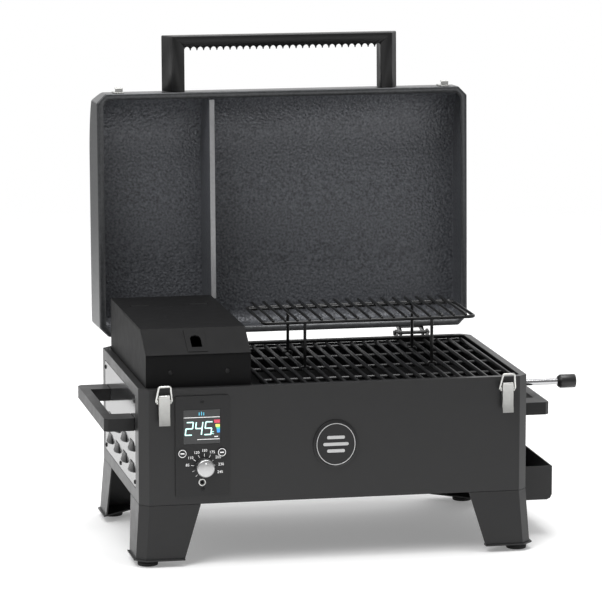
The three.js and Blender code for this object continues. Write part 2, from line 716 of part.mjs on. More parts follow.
// Cooking grate: bars from front to back, welded onto four crossbars.
function cookingGrate() {
  const parts = [];
  for (let i = 0; i < BAR_COUNT; i += 1) {
    const x = BAR_START + BAR_PITCH * i;
    const z = GRATE_TOP - BAR_RADIUS;
    parts.push(bar([x, -152, z], [x, 152, z], BAR_RADIUS, 6));
  }
  const end = BAR_START + BAR_PITCH * (BAR_COUNT - 1);
  for (const y of [-90, -12, 66, 143]) {
    const z = GRATE_TOP - BAR_RADIUS - 2.8;
    parts.push(bar([BAR_START - 2, y, z], [end + 1.5, y, z], BAR_RADIUS, 6));
  }
  piece('cooking_grate', 'porcelain', join(...parts));
}

// Warming rack: wires on a frame with four legs, whose forked feet straddle bars of the cooking grate.
function warmingRack() {
  const [x0, x1, y0, y1] = [-72, 217, -41, 88];
  const r = 2;
  const corner = 8;
  const frame = [
    [x0 + corner, y0, RACK_Z],
    [x1 - corner, y0, RACK_Z],
    [x1, y0 + corner, RACK_Z],
    [x1, y1 - corner, RACK_Z],
    [x1 - corner, y1, RACK_Z],
    [x0 + corner, y1, RACK_Z],
    [x0, y1 - corner, RACK_Z],
    [x0, y0 + corner, RACK_Z],
    [x0 + corner, y0, RACK_Z],
  ];
  const ball = solid(new THREE.SphereGeometry(r, 6, 6).translate(...frame[0]));
  const parts = [wire(frame, r, 6), ball];
  for (let i = 0; i < 17; i += 1) {
    const x = -59.5 + 16.5 * i;
    parts.push(bar([x, y0 - 1, RACK_Z + 3], [x, y1 + 24, RACK_Z + 3], r, 6));
  }
  const foot = GRATE_TOP + 2.2;
  const fork = (x, y) => {
    const prongs = [[-5.2, -6], [-5.2, 0], [5.2, 0], [5.2, -6]];
    return wire(prongs.map(([dx, dz]) => [x + dx, y, foot + dz]), 1.6, 6);
  };
  for (const k of [4, 14]) {
    const x = BAR_START + BAR_PITCH * k;
    for (const y of [y0, RACK_LEG_Y]) {
      parts.push(bar([x, y, foot], [x, y, RACK_Z + 1], r, 6), fork(x, y));
    }
  }
  parts.push(bar([x0, RACK_LEG_Y, RACK_Z], [x1, RACK_LEG_Y, RACK_Z], r, 6));
  piece('warming_rack', 'porcelain', join(...parts));
}

// Grease tray hung outside the right side, and the drain spout with the rail that the tray hooks over.
function greaseTray() {
  const rail = [
    [SIDE + GAP, 84],
    [265, 84],
    [265, 91],
    [263.8, 91],
    [263.8, 85.5],
    [261.5, 85.5],
    [261.5, 97],
    [SIDE + GAP, 97],
  ];
  const lip = [[240, 105.4], [272, 103], [272, 107.4], [240, 109]];
  const spout = join(
    prismY([[240, 105.4], [272, 103], [272, 104.4], [240, 106.8]], -30, 30),
    prismY(lip, -30, -28.6),
    prismY(lip, 28.6, 30),
    block(SIDE + GAP, 261.5, -26, 26, 96, 104.5),
  );
  piece('drain_spout', 'bare_steel', join(spout, prismY(rail, -64, 64)));
  const bowl = (inset, top) => {
    const [x0, x1, z0] = [265.6 + inset, 316 - inset, 47.6 + inset];
    const r = 7 - inset;
    return [[x0, top], [x0, z0 + r], [x0 + r / 3, z0 + r / 3], [x0 + r, z0],
      [x1 - r, z0], [x1 - r / 3, z0 + r / 3], [x1, z0 + r], [x1, top]];
  };
  const box = cut(
    prismY(bowl(0, 94), -82, 82),
    prismY(bowl(THIN, 100), -80.5, 80.5),
    block(260, 270, -33, 33, 72, 100),
  );
  const hook = [[266, 94], [262.2, 94], [262.2, 86], [263.3, 86], [263.3, 92.6], [266, 92.6]];
  const hooks = [prismY(hook, -62, -36), prismY(hook, 36, 62)];
  piece('grease_tray', 'powder_coat', join(box, ...hooks));
}

// Lid outline from front to back, closed, drawn inset from the full size.
function lidProfile(inset, bottom) {
  const half = LID_DEPTH / 2 - inset;
  const crown = LID_CROWN - inset;
  const frontRun = 96 - inset;
  const frontRise = crown - LID_FRONT_WALL;
  const backRadius = LID_CROWN - LID_BACK_WALL - inset;
  const points = [[-half, bottom]];
  for (let i = 0; i <= 8; i += 1) {
    const angle = (Math.PI / 2) * (i / 8);
    points.push([frontRun * (1 - Math.cos(angle)) - half, LID_FRONT_WALL + frontRise * Math.sin(angle)]);
  }
  for (let i = 0; i <= 5; i += 1) {
    const angle = (Math.PI / 2) * (i / 5);
    points.push([half - backRadius * (1 - Math.sin(angle)), LID_BACK_WALL + backRadius * Math.cos(angle)]);
  }
  points.push([half, bottom]);
  return points.map(([y, z]) => [y, LID_RIM + z]);
}

function lidBlank(inset, bottom) {
  const outline = chamfered(LID_WIDTH, LID_DEPTH, LID_CORNER, inset);
  const walls = prismZ(outline, LID_RIM + bottom, LID_RIM + LID_CROWN + 10);
  return walls.intersect(prismX(lidProfile(inset, bottom), -LID_WIDTH / 2, LID_WIDTH / 2));
}

// Everything that swings with the lid is drawn closed and turned open about the hinge pins.
const OPENED = new THREE.Matrix4()
  .makeTranslation(0, HINGE_Y, HINGE_Z)
  .multiply(new THREE.Matrix4().makeRotationX(THREE.MathUtils.degToRad(-LID_OPEN)))
  .multiply(new THREE.Matrix4().makeTranslation(0, -HINGE_Y, -HINGE_Z));

function lid() {
  const flange = cut(
    prismZ(chamfered(LID_WIDTH, LID_DEPTH, LID_CORNER, SHEET / 2), LID_RIM, LID_RIM + SHEET),
    prismZ(chamfered(LID_WIDTH, LID_DEPTH, LID_CORNER, LID_FLANGE), LID_RIM - 1, LID_RIM + SHEET + 1),
  );
  const shell = cut(lidBlank(0, 0), lidBlank(SHEET, -5));
  piece('lid_shell', 'hammered_enamel', join(shell, flange), OPENED);
  const panel = prismX(lidProfile(SHEET + GAP, SHEET + GAP), -104, -102.5);
  const strip = block(-104, -97, -156.5, 119, LID_RIM + 1, LID_RIM + SHEET + 1);
  piece('lid_divider', 'bare_steel', join(panel, strip), OPENED);
}

function lidHandle() {
  const root = -LID_DEPTH / 2 - GAP;
  const tip = -LID_DEPTH / 2 - HANDLE_REACH;
  const inner = HANDLE_HALF - HANDLE_BAR;
  const valley = tip + 15;
  const peak = valley + TOOTH_DEPTH;
  const pitch = (2 * inner) / TOOTH_COUNT;
  const low = LID_RIM + 1.5;
  const high = low + HANDLE_CHANNEL;
  const web = [
    [-inner, root],
    [-HANDLE_HALF, root],
    [-HANDLE_HALF, tip],
    [HANDLE_HALF, tip],
    [HANDLE_HALF, root],
    [inner, root],
  ];
  for (let i = TOOTH_COUNT; i > 0; i -= 1) {
    const right = pitch * i - inner;
    const left = right - pitch;
    web.push(i === TOOTH_COUNT ? [right, valley + 1] : [right - 0.6, peak]);
    web.push([right - 2.4, valley + 0.5], [left + 2.4, valley + 0.5]);
    web.push(i === 1 ? [left, valley + 1] : [left + 0.6, peak]);
  }
  const parts = [prismZ(web, low, low + SHEET)];
  parts.push(prismY([
    [-HANDLE_HALF, low],
    [HANDLE_HALF, low],
    [HANDLE_HALF + HANDLE_FLARE, high],
    [-HANDLE_HALF - HANDLE_FLARE, high],
  ], tip, tip + SHEET));
  for (const side of [-1, 1]) {
    const place = (points) => flipX(points, side);
    const flare = [
      [HANDLE_HALF, low],
      [HANDLE_HALF + HANDLE_FLARE, high],
      [HANDLE_HALF + HANDLE_FLARE - SHEET, high],
      [HANDLE_HALF - SHEET, low + 0.5],
    ];
    const foot = [[inner, low], [HANDLE_HALF, low], [HANDLE_HALF + HANDLE_FLARE, high], [inner, high]];
    const cheek = [[inner, low], [inner + SHEET, low], [inner + SHEET, high], [inner, high]];
    parts.push(prismY(place(flare), tip, root));
    parts.push(prismY(place(cheek), valley + 1, root));
    parts.push(prismY(place(foot), root - SHEET, root));
  }
  piece('lid_handle', 'dark_coat', join(...parts), OPENED);
}

// Keeper on the lid front for each latch loop, and the lid half of each hinge.
function lidHardware(name, side) {
  const x = side * LATCH_X;
  const wall = -LID_DEPTH / 2 - GAP;
  const keeper = join(
    block(x - 7, x + 7, wall - THIN, wall, LID_RIM + 1.5, LID_RIM + 26),
    block(x - 5.2, x + 5.2, wall - 7.7, wall - 1, LID_RIM + 2.5, LID_RIM + 4),
    block(x - 5.2, x + 5.2, wall - 7.7, wall - 6.3, LID_RIM + 2.5, LID_RIM + 8.5),
  );
  piece(`latch_keeper_${name}`, 'nickel', keeper, OPENED);
  const hx = side * HINGE_X;
  const back = LID_DEPTH / 2 + GAP;
  const plate = block(hx - 17.5, hx + 17.5, back, back + SHEET, LID_RIM + 6, LID_RIM + 30);
  const knuckles = [-17.5, 14.5].map((dx) => {
    const outline = [
      [back, LID_RIM + 22],
      [back, LID_RIM + 5.5],
      ...ellipse(HINGE_Y, HINGE_Z, 4.8, 4.8, 16).filter(([y, z]) => z < HINGE_Z + 1 || y > HINGE_Y + 1),
      [back + 3, LID_RIM + 22],
    ];
    const points = outline.map(([y, z]) => [y, z, Math.atan2(z - HINGE_Z - 4, y - HINGE_Y + 3)]);
    points.sort((a, b) => a[2] - b[2]);
    return prismX(points.map(([y, z]) => [y, z]), hx + dx, hx + dx + 3);
  });
  const hole = bar([hx - 30, HINGE_Y, HINGE_Z], [hx + 30, HINGE_Y, HINGE_Z], PIN_RADIUS + GAP, 20);
  piece(`hinge_leaf_${name}`, 'nickel', cut(join(plate, ...knuckles), hole), OPENED);
}

// Draw latch on the cabinet front: base with a pivot pin, folded lever and wire loop.
function latch(name, side) {
  const x = side * LATCH_X;
  const both = (build) => join(...[-1, 1].map(build));
  const earOutline = [
    [FRONT - 1.7, 218.5],
    [FRONT - 1.7, 228],
    [LEVER_PIVOT_Y - 2.6, 227],
    [LEVER_PIVOT_Y - 2.6, 221.5],
  ];
  const ears = both((s) => prismX(earOutline, x + s * 4.8 - 0.6, x + s * 4.8 + 0.6));
  const pin = bar([x - 8, LEVER_PIVOT_Y, LEVER_PIVOT_Z], [x + 8, LEVER_PIVOT_Y, LEVER_PIVOT_Z], 1.5, 12);
  const base = join(block(x - 5.5, x + 5.5, FRONT - GAP - THIN, FRONT - GAP, 193, 228), ears, pin);
  piece(`latch_base_${name}`, 'nickel', base);
  const cheek = [
    [FRONT - 2.2, 220],
    [FRONT - 2.2, 228],
    [FRONT - 11, 228],
    [FRONT - 11, 200],
    [FRONT - 9, 200],
  ];
  const cheeks = both((s) => prismX(cheek, x + s * 6.55 - 0.65, x + s * 6.55 + 0.65));
  const web = prismX([[FRONT - 10, 228], [FRONT - 11.5, 228], [FRONT - 11.5, 190], [FRONT - 13, 188.5],
    [FRONT - 11.5, 188], [FRONT - 10, 189.5]], x - 7.2, x + 7.2);
  const holes = [
    bar([x - 10, LEVER_PIVOT_Y, LEVER_PIVOT_Z], [x + 10, LEVER_PIVOT_Y, LEVER_PIVOT_Z], 1.85, 12),
    bar([x - 10, LOOP_PIVOT_Y, LOOP_PIVOT_Z], [x + 10, LOOP_PIVOT_Y, LOOP_PIVOT_Z], 1.65, 12),
  ];
  piece(`latch_lever_${name}`, 'nickel', cut(join(cheeks, web), ...holes));
  const top = [FRONT - 14.5, 240.7];
  const foot = [LOOP_PIVOT_Y, LOOP_PIVOT_Z];
  const loop = wire([
    [x - 5.8, ...foot],
    [x - 10.6, ...foot],
    [x - 7.6, ...top],
    [x + 7.6, ...top],
    [x + 10.6, ...foot],
    [x + 5.8, ...foot],
  ], 1.3, 8);
  piece(`latch_loop_${name}`, 'nickel', loop);
}

// Control panel with its display, rotary selector, two push buttons and probe socket.
function controls() {
  const [x0, x1] = PANEL_X;
  const [z0, z1] = PANEL_Z;
  const outline = [
    [x0 + 3, z0],
    [x1 - 3, z0],
    [x1, z0 + 3],
    [x1, z1 - 3],
    [x1 - 3, z1],
    [x0 + 3, z1],
    [x0, z1 - 3],
    [x0, z0 + 3],
  ];
  const along = (x, z, near, far, radius, sides = 20) => bar([x, near, z], [x, far, z], radius, sides);
  const panel = cut(
    prismY(outline, PANEL_FACE, FRONT - GAP),
    block(...DISPLAY_X, FRONT - 5, FRONT, ...DISPLAY_Z),
    along(KNOB_X, KNOB_Z, FRONT - 5, FRONT, 3.6),
    ...Object.values(BUTTON_X).map((x) => along(x, BUTTON_Z, FRONT - 5, FRONT, 6)),
    along(SOCKET_X, SOCKET_Z, FRONT - 5, FRONT, 3.5),
  );
  const screws = [[-178, 217], [-177.5, 101]].map(([x, z]) => {
    return along(x, z, PANEL_FACE - 1, PANEL_FACE + 1, 2.6, 12);
  });
  piece('control_panel', 'dark_coat', join(panel, ...screws));
  const lensX = [DISPLAY_X[0] + GAP, DISPLAY_X[1] - GAP];
  const lensZ = [DISPLAY_Z[0] + GAP, DISPLAY_Z[1] - GAP];
  piece('display_lens', 'display_lens', block(...lensX, PANEL_FACE + 0.1, FRONT - GAP, ...lensZ));
  const knob = join(
    along(KNOB_X, KNOB_Z, PANEL_FACE - 14, PANEL_FACE - 0.5, 12, 28),
    along(KNOB_X, KNOB_Z, PANEL_FACE - 1, FRONT + 4, 3, 16),
    block(KNOB_X - 1, KNOB_X + 1, PANEL_FACE - 15, PANEL_FACE - 13, KNOB_Z, KNOB_Z + 11),
  );
  piece('control_knob', 'nickel', knob);
  for (const [name, x] of Object.entries(BUTTON_X)) {
    const cap = join(
      along(x, BUTTON_Z, PANEL_FACE - 2, FRONT + 2, 5.6),
      along(x, BUTTON_Z, FRONT + GAP, FRONT + 2.5, 6.9),
    );
    piece(`push_button_${name}`, 'black_plastic', cap);
  }
  const socket = cut(
    join(
      along(SOCKET_X, SOCKET_Z, PANEL_FACE - 1.2, PANEL_FACE - GAP, 4.8, 24),
      along(SOCKET_X, SOCKET_Z, PANEL_FACE - 1, FRONT + 12, 3.1, 16),
    ),
    along(SOCKET_X, SOCKET_Z, PANEL_FACE - 2, FRONT + 9, 1.8, 16),
  );
  piece('probe_socket', 'white_plastic', socket);
}

// Plain oval plate with a raised border and three raised bars.
function badge() {
  const [x, z] = [BADGE_X, BADGE_Z];
  const plate = prismY(ellipse(x, z, 30, 32), FRONT - GAP - 2.5, FRONT - GAP);
  const recess = prismY(ellipse(x, z, 26.5, 28.5), FRONT - GAP - 3, FRONT - GAP - 1.5);
  const bars = [-9, 0, 9].map((dz) => {
    return block(x - 16, x + 16, FRONT - GAP - 2.3, FRONT - GAP - 1, z + dz - 2, z + dz + 2);
  });
  piece('front_badge', 'bare_steel', join(cut(plate, recess), ...bars));
}

// Mains inlet in the back wall: a socket with three blades.
function powerInlet() {
  const x = INLET_X;
  const z = INLET_Z;
  const body = cut(
    join(
      block(x - 14, x + 14, BACK - 22, BACK + 1, z - 10, z + 10),
      block(x - 18, x + 18, BACK + GAP, BACK + 2, z - 14, z + 14),
    ),
    block(x - 12, x + 12, BACK - 16, BACK + 5, z - 8, z + 8),
  );
  const blades = [[-6, -2], [6, -2], [0, 3]].map(([dx, dz]) => {
    return block(x + dx - 1, x + dx + 1, BACK - 17, BACK - 3, z + dz - 2, z + dz + 2);
  });
  piece('power_inlet', 'black_plastic', join(body, ...blades));
}

cabinet();
backWall();
ventPanel();
for (const [sideName, side] of Object.entries(SIDES)) {
  for (const [endName, end] of Object.entries(ENDS)) {
    leg(`${endName}_${sideName}`, side, end);
  }
  carryHandle(sideName, side);
  hingeBracket(sideName, side * HINGE_X);
  lidHardware(sideName, side);
  latch(sideName, side);
}
lid();
lidHandle();
hopper();
hopperLid();
pelletFeed();
fan();
chamber();
flameSlide();
bushing();
cookingGrate();
warmingRack();
greaseTray();
controls();
badge();
powerInlet();

// Put the origin on the floor under the middle of the bounding box.
const bounds = new THREE.Box3().setFromObject(group);
const middle = bounds.getCenter(new THREE.Vector3());
for (const mesh of group.children) {
  mesh.geometry.translate(-middle.x, -middle.y, -bounds.min.z);
}

export default group;
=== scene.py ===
"""Looks of the portable pellet grill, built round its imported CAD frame.

Lengths below are millimetres in the cabinet's own frame: the origin is on the ground under the middle
of the cabinet, +X is the grill's right side, +Y its back and +Z up. piece() turns them into metres in
the row frame. What swings with the lid is drawn closed and then turned open about the lid hinge.
"""

import json
import math

import bmesh
import bpy
from mathutils import Matrix, Vector
from mathutils.geometry import tessellate_polygon


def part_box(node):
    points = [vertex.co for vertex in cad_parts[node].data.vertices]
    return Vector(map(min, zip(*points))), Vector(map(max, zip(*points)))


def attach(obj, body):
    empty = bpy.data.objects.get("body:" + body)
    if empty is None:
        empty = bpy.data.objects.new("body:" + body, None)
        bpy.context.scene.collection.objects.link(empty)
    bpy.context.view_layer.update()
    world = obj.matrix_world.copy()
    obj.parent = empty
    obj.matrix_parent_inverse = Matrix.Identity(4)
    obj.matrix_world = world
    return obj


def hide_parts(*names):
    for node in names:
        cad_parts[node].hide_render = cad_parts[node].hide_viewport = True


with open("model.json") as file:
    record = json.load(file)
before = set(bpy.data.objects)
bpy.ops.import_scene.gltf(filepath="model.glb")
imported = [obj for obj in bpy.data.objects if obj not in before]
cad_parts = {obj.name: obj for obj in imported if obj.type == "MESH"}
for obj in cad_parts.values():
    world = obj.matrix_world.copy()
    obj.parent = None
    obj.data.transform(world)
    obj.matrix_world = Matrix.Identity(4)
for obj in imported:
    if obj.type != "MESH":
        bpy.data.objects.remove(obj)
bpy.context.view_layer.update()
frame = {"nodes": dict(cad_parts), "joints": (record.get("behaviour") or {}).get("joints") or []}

# ---------------------------------------------------------------------------------------------
# Frame: from millimetres round the cabinet to metres in the row frame.

MM = 0.001
cabinet_low, cabinet_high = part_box("cabinet_shell")
HOME = Vector(((cabinet_low.x + cabinet_high.x) / 2, (cabinet_low.y + cabinet_high.y) / 2, 0))
TO_ROW = Matrix.Translation(HOME) @ Matrix.Scale(MM, 4)


def corners(node):
    """Lowest and highest corner of a CAD node, in millimetres round the cabinet."""
    low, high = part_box(node)
    return (low - HOME) / MM, (high - HOME) / MM


def joint(name):
    return next(j for j in frame["joints"] if j["name"] == name)


def opened():
    """Turns what is drawn with the lid closed to where the lid rests open."""
    hinge = joint("lid_hinge")
    pivot = (Vector(hinge["pos_m"]) - HOME) / MM
    angle = math.radians(hinge["range_deg"][0])
    return Matrix.Translation(pivot) @ Matrix.Rotation(angle, 4, "X") @ Matrix.Translation(-pivot)


OPENED = opened()

# Driving sizes.
SHEET = 2
BODY_WIDTH, BODY_DEPTH = 520, 330
FRONT = -BODY_DEPTH / 2
SIDE = BODY_WIDTH / 2
LID_WIDTH, LID_DEPTH, LID_CORNER = 521, 336, 12.4
LID_RIM, LID_CROWN, LID_FRONT_WALL, LID_BACK_WALL, LID_FLANGE = 236, 78, 32, 56, 9
HANDLE_HALF, HANDLE_REACH, HANDLE_BAR, HANDLE_GRIP = 154.3, 77, 16.5, 15
HANDLE_CHANNEL, HANDLE_FLARE = 26, 11.5
TEETH, TOOTH_DEPTH = 30, 4.8
GRATE_TOP, GRATE_RADIUS, GRATE_PITCH, GRATE_START, GRATE_BARS = 232.5, 2.9, 17.4, -86, 20
RACK_Z, RACK_LEG_Y = 295, 76
LATCH_X = 229.2
PANEL_FACE = FRONT - 0.3 - SHEET
KNOB_X, KNOB_Z = -175.7, 130.8

# ---------------------------------------------------------------------------------------------
# Camera, floor and light.


def look(azimuth, elevation, distance, target, lens):
    a, e = math.radians(azimuth), math.radians(elevation)
    back = Vector((math.sin(a) * math.cos(e), -math.cos(a) * math.cos(e), math.sin(e)))
    data = bpy.data.cameras.new("camera")
    data.lens = lens
    data.sensor_width = 36
    camera = bpy.data.objects.new("camera", data)
    camera.location = TO_ROW @ (Vector(target) + back * distance)
    camera.rotation_mode = "QUATERNION"
    camera.rotation_quaternion = (-back).to_track_quat("-Z", "Y")
    bpy.context.scene.collection.objects.link(camera)
    bpy.context.scene.camera = camera


look(azimuth=-11.457, elevation=9.489, distance=5191.5, target=(-13.4, 0, 318.2), lens=231.0)
bpy.context.scene.view_settings.view_transform = "Standard"


def node_tree(material):
    material.use_nodes = True
    tree = material.node_tree
    tree.nodes.clear()
    return tree


def add(tree, kind, **settings):
    """Adds a node. A setting is a property, an input's value, or an output to link to an input."""
    node = tree.nodes.new(kind)
    for key, value in settings.items():
        if hasattr(node, key) and key not in ("inputs", "outputs"):
            setattr(node, key, value)
            continue
        socket = node.inputs[key.replace("_", " ")]
        if isinstance(value, bpy.types.NodeSocket):
            tree.links.new(value, socket)
        else:
            socket.default_value = value
    return node


def floor(radius, fade_from, glow):
    """Pale round floor that fades out towards its edge. Its glow lightens the shadow."""
    bm = bmesh.new()
    bmesh.ops.create_circle(bm, cap_ends=True, segments=96, radius=radius)
    mesh = bpy.data.meshes.new("floor")
    bm.to_mesh(mesh)
    bm.free()
    material = bpy.data.materials.new("floor")
    tree = node_tree(material)
    place = add(tree, "ShaderNodeTexCoord").outputs["Object"]
    length = add(tree, "ShaderNodeVectorMath", operation="LENGTH")
    tree.links.new(place, length.inputs[0])
    fade = add(tree, "ShaderNodeMapRange", interpolation_type="SMOOTHSTEP", From_Min=fade_from, From_Max=radius)
    tree.links.new(length.outputs["Value"], fade.inputs["Value"])
    matt = add(tree, "ShaderNodeBsdfPrincipled", Roughness=0.9, Emission_Strength=glow)
    matt.inputs["Base Color"].default_value = (0.86, 0.86, 0.86, 1)
    matt.inputs["Emission Color"].default_value = (1, 1, 1, 1)
    clear = add(tree, "ShaderNodeBsdfTransparent")
    mix = add(tree, "ShaderNodeMixShader")
    tree.links.new(fade.outputs["Result"], mix.inputs[0])
    tree.links.new(matt.outputs[0], mix.inputs[1])
    tree.links.new(clear.outputs[0], mix.inputs[2])
    output = add(tree, "ShaderNodeOutputMaterial")
    tree.links.new(mix.outputs[0], output.inputs["Surface"])
    mesh.materials.append(material)
    obj = bpy.data.objects.new("floor", mesh)
    obj.location = (HOME.x, HOME.y, -0.0004)
    bpy.context.scene.collection.objects.link(obj)


def sky(overhead, level, below, front, back):
    """Soft white surroundings: dimmer towards and below the horizon, and dimmer in front than behind."""
    world = bpy.data.worlds.new("studio")
    bpy.context.scene.world = world
    world.use_nodes = True
    tree = world.node_tree
    tree.nodes.clear()
    place = add(tree, "ShaderNodeTexCoord").outputs["Generated"]
    direction = add(tree, "ShaderNodeSeparateXYZ", Vector=place)
    ramp = add(tree, "ShaderNodeValToRGB")
    height = add(tree, "ShaderNodeMapRange", Value=direction.outputs["Z"], From_Min=-1.0)
    tree.links.new(height.outputs["Result"], ramp.inputs["Fac"])
    strength = add(tree, "ShaderNodeMapRange", Value=direction.outputs["Y"], From_Min=-0.7, From_Max=0.6,
                   To_Min=front, To_Max=back)
    stops = [(0.0, below), (0.47, below), (0.53, level), (1.0, overhead)]
    while len(ramp.color_ramp.elements) < len(stops):
        ramp.color_ramp.elements.new(0.5)
    for element, (position, value) in zip(ramp.color_ramp.elements, stops):
        element.position = position
        element.color = (value, value, value, 1)
    lit = add(tree, "ShaderNodeBackground", Color=ramp.outputs["Color"], Strength=strength.outputs["Result"])
    seen = add(tree, "ShaderNodeBackground", Color=(1, 1, 1, 1), Strength=1.0)
    rays = add(tree, "ShaderNodeLightPath")
    mix = add(tree, "ShaderNodeMixShader")
    tree.links.new(rays.outputs["Is Camera Ray"], mix.inputs[0])
    tree.links.new(lit.outputs[0], mix.inputs[1])
    tree.links.new(seen.outputs[0], mix.inputs[2])
    tree.links.new(mix.outputs[0], add(tree, "ShaderNodeOutputWorld").inputs["Surface"])


def softbox(name, position, aim, size, power):
    data = bpy.data.lights.new(name, "AREA")
    data.shape = "RECTANGLE"
    data.size, data.size_y = size
    data.energy = power
    light = bpy.data.objects.new(name, data)
    light.location = HOME + Vector(position)
    light.rotation_mode = "QUATERNION"
    light.rotation_quaternion = (Vector(aim) - Vector(position)).to_track_quat("-Z", "Y")
    bpy.context.scene.collection.objects.link(light)


floor(radius=3.2, fade_from=1.2, glow=0.22)
sky(overhead=1.0, level=0.85, below=0.3, front=0.35, back=1.15)
softbox("key", position=(-1.6, -1.4, 3.0), aim=(0, 0, 0.2), size=(1.8, 1.8), power=55)
softbox("overhead", position=(0.3, 0.1, 3.2), aim=(0, 0, 0), size=(2.0, 1.2), power=60)

# ---------------------------------------------------------------------------------------------
# Materials.


def surface(name, color, roughness, metallic=0.0, bump=(), mottle=0.0, grain=400.0, rough_spread=0.08, **fixed):
    """A coated or bare surface: noise varies its colour and gloss, and each bump is
    (texture, cells per metre, height in millimetres)."""
    material = bpy.data.materials.new(name)
    tree = node_tree(material)
    shader = add(tree, "ShaderNodeBsdfPrincipled", Metallic=metallic)
    for key, value in fixed.items():
        shader.inputs[key.replace("_", " ")].default_value = value
    place = add(tree, "ShaderNodeTexCoord").outputs["Object"]
    noise = add(tree, "ShaderNodeTexNoise", Vector=place, Scale=grain, Detail=4.0)
    tone = add(tree, "ShaderNodeMapRange", Value=noise.outputs["Fac"])
    tone.inputs["From Min"].default_value = 0.3
    tone.inputs["From Max"].default_value = 0.7
    tone.inputs["To Min"].default_value = 1.0 - mottle
    tone.inputs["To Max"].default_value = 1.0 + mottle
    tint = add(tree, "ShaderNodeVectorMath", operation="SCALE")
    tint.inputs[0].default_value = color
    tree.links.new(tone.outputs["Result"], tint.inputs["Scale"])
    tree.links.new(tint.outputs["Vector"], shader.inputs["Base Color"])
    gloss = add(tree, "ShaderNodeMapRange", Value=noise.outputs["Fac"])
    gloss.inputs["To Min"].default_value = max(0.02, roughness - rough_spread)
    gloss.inputs["To Max"].default_value = roughness + rough_spread
    tree.links.new(gloss.outputs["Result"], shader.inputs["Roughness"])
    normal = None
    for kind, scale, height in bump:
        if kind == "noise":
            relief = add(tree, "ShaderNodeTexNoise", Vector=place, Scale=scale, Detail=2.0).outputs["Fac"]
        else:
            cells = add(tree, "ShaderNodeTexVoronoi", feature="SMOOTH_F1", Vector=place, Scale=scale)
            relief = cells.outputs["Distance"]
        node = add(tree, "ShaderNodeBump", Strength=1.0, Distance=height * MM, Height=relief)
        if normal:
            tree.links.new(normal, node.inputs["Normal"])
        normal = node.outputs["Normal"]
    if normal:
        tree.links.new(normal, shader.inputs["Normal"])
    tree.links.new(shader.outputs[0], add(tree, "ShaderNodeOutputMaterial").inputs["Surface"])
    return material


def brushed(name, color, roughness, stretch):
    """Bare metal with a fine grain drawn out along one axis."""
    material = surface(name, color, roughness, metallic=1.0, mottle=0.04, grain=250)
    tree = material.node_tree
    shader = next(n for n in tree.nodes if n.type == "BSDF_PRINCIPLED")
    place = add(tree, "ShaderNodeTexCoord").outputs["Object"]
    drawn = add(tree, "ShaderNodeMapping", Vector=place, Scale=stretch)
    streaks = add(tree, "ShaderNodeTexNoise", Vector=drawn.outputs["Vector"], Scale=900.0, Detail=3.0)
    node = add(tree, "ShaderNodeBump", Strength=0.6, Distance=0.03 * MM, Height=streaks.outputs["Fac"])
    tree.links.new(node.outputs["Normal"], shader.inputs["Normal"])
    return material


def glowing(name, color, strength):
    """Lit marks, and printed marks given a painted glow: a little uneven, as a backlit film is."""
    material = bpy.data.materials.new(name)
    tree = node_tree(material)
    place = add(tree, "ShaderNodeTexCoord").outputs["Object"]
    noise = add(tree, "ShaderNodeTexNoise", Vector=place, Scale=600.0)
    tone = add(tree, "ShaderNodeMapRange", Value=noise.outputs["Fac"])
    tone.inputs["To Min"].default_value = 0.9
    tone.inputs["To Max"].default_value = 1.1
    tint = add(tree, "ShaderNodeVectorMath", operation="SCALE")
    tint.inputs[0].default_value = color
    tree.links.new(tone.outputs["Result"], tint.inputs["Scale"])
    shader = add(tree, "ShaderNodeBsdfPrincipled", Roughness=0.5, Emission_Strength=strength)
    tree.links.new(tint.outputs["Vector"], shader.inputs["Base Color"])
    tree.links.new(tint.outputs["Vector"], shader.inputs["Emission Color"])
    tree.links.new(shader.outputs[0], add(tree, "ShaderNodeOutputMaterial").inputs["Surface"])
    return material


POWDER = surface("powder_coat", (0.017, 0.017, 0.0174), 0.38, mottle=0.06, grain=60,
                 bump=[("noise", 1400, 0.02), ("noise", 90, 0.03)], Specular_IOR_Level=0.36)
SIDE_COAT = surface("side_coat", (0.03, 0.03, 0.031), 0.13, mottle=0.04, grain=40, rough_spread=0.03)
BLACK_COAT = surface("black_coat", (0.0085, 0.0085, 0.0088), 0.42, mottle=0.06, grain=60,
                     bump=[("noise", 1400, 0.02), ("noise", 90, 0.03)], Specular_IOR_Level=0.32)
LID_OUTSIDE = surface("lid_outside", (0.06, 0.062, 0.065), 0.32, metallic=0.4, mottle=0.2, grain=260,
                      bump=[("voronoi", 300, 0.2)])
LID_INSIDE = surface("lid_inside", (0.115, 0.12, 0.132), 0.34, metallic=0.25, mottle=0.45, grain=300,
                     bump=[("voronoi", 300, 0.75), ("noise", 420, 0.35)])
HOPPER_COAT = surface("hopper_coat", (0.0085, 0.0085, 0.0088), 0.55, mottle=0.06, grain=60,
                      bump=[("noise", 1400, 0.02), ("noise", 90, 0.03)], Specular_IOR_Level=0.07)
PORCELAIN = surface("porcelain", (0.006, 0.006, 0.0063), 0.3, mottle=0.2, grain=150,
                    bump=[("noise", 350, 0.06)])
NICKEL = brushed("satin_nickel", (0.62, 0.62, 0.6), 0.38, (1, 1, 0.04))
HINGE_STEEL = surface("hinge_steel", (0.11, 0.11, 0.11), 0.42, metallic=1.0, mottle=0.15, grain=300,
                      bump=[("noise", 900, 0.03)])
STEEL = brushed("bare_steel", (0.62, 0.62, 0.63), 0.32, (1, 1, 0.03))
CHROME = surface("chrome", (0.5, 0.5, 0.51), 0.16, metallic=1.0, mottle=0.02, rough_spread=0.03)
KNOB_METAL = surface("knob_metal", (0.5, 0.5, 0.5), 0.34, metallic=1.0, mottle=0.05, grain=900,
                     bump=[("noise", 2500, 0.01)])
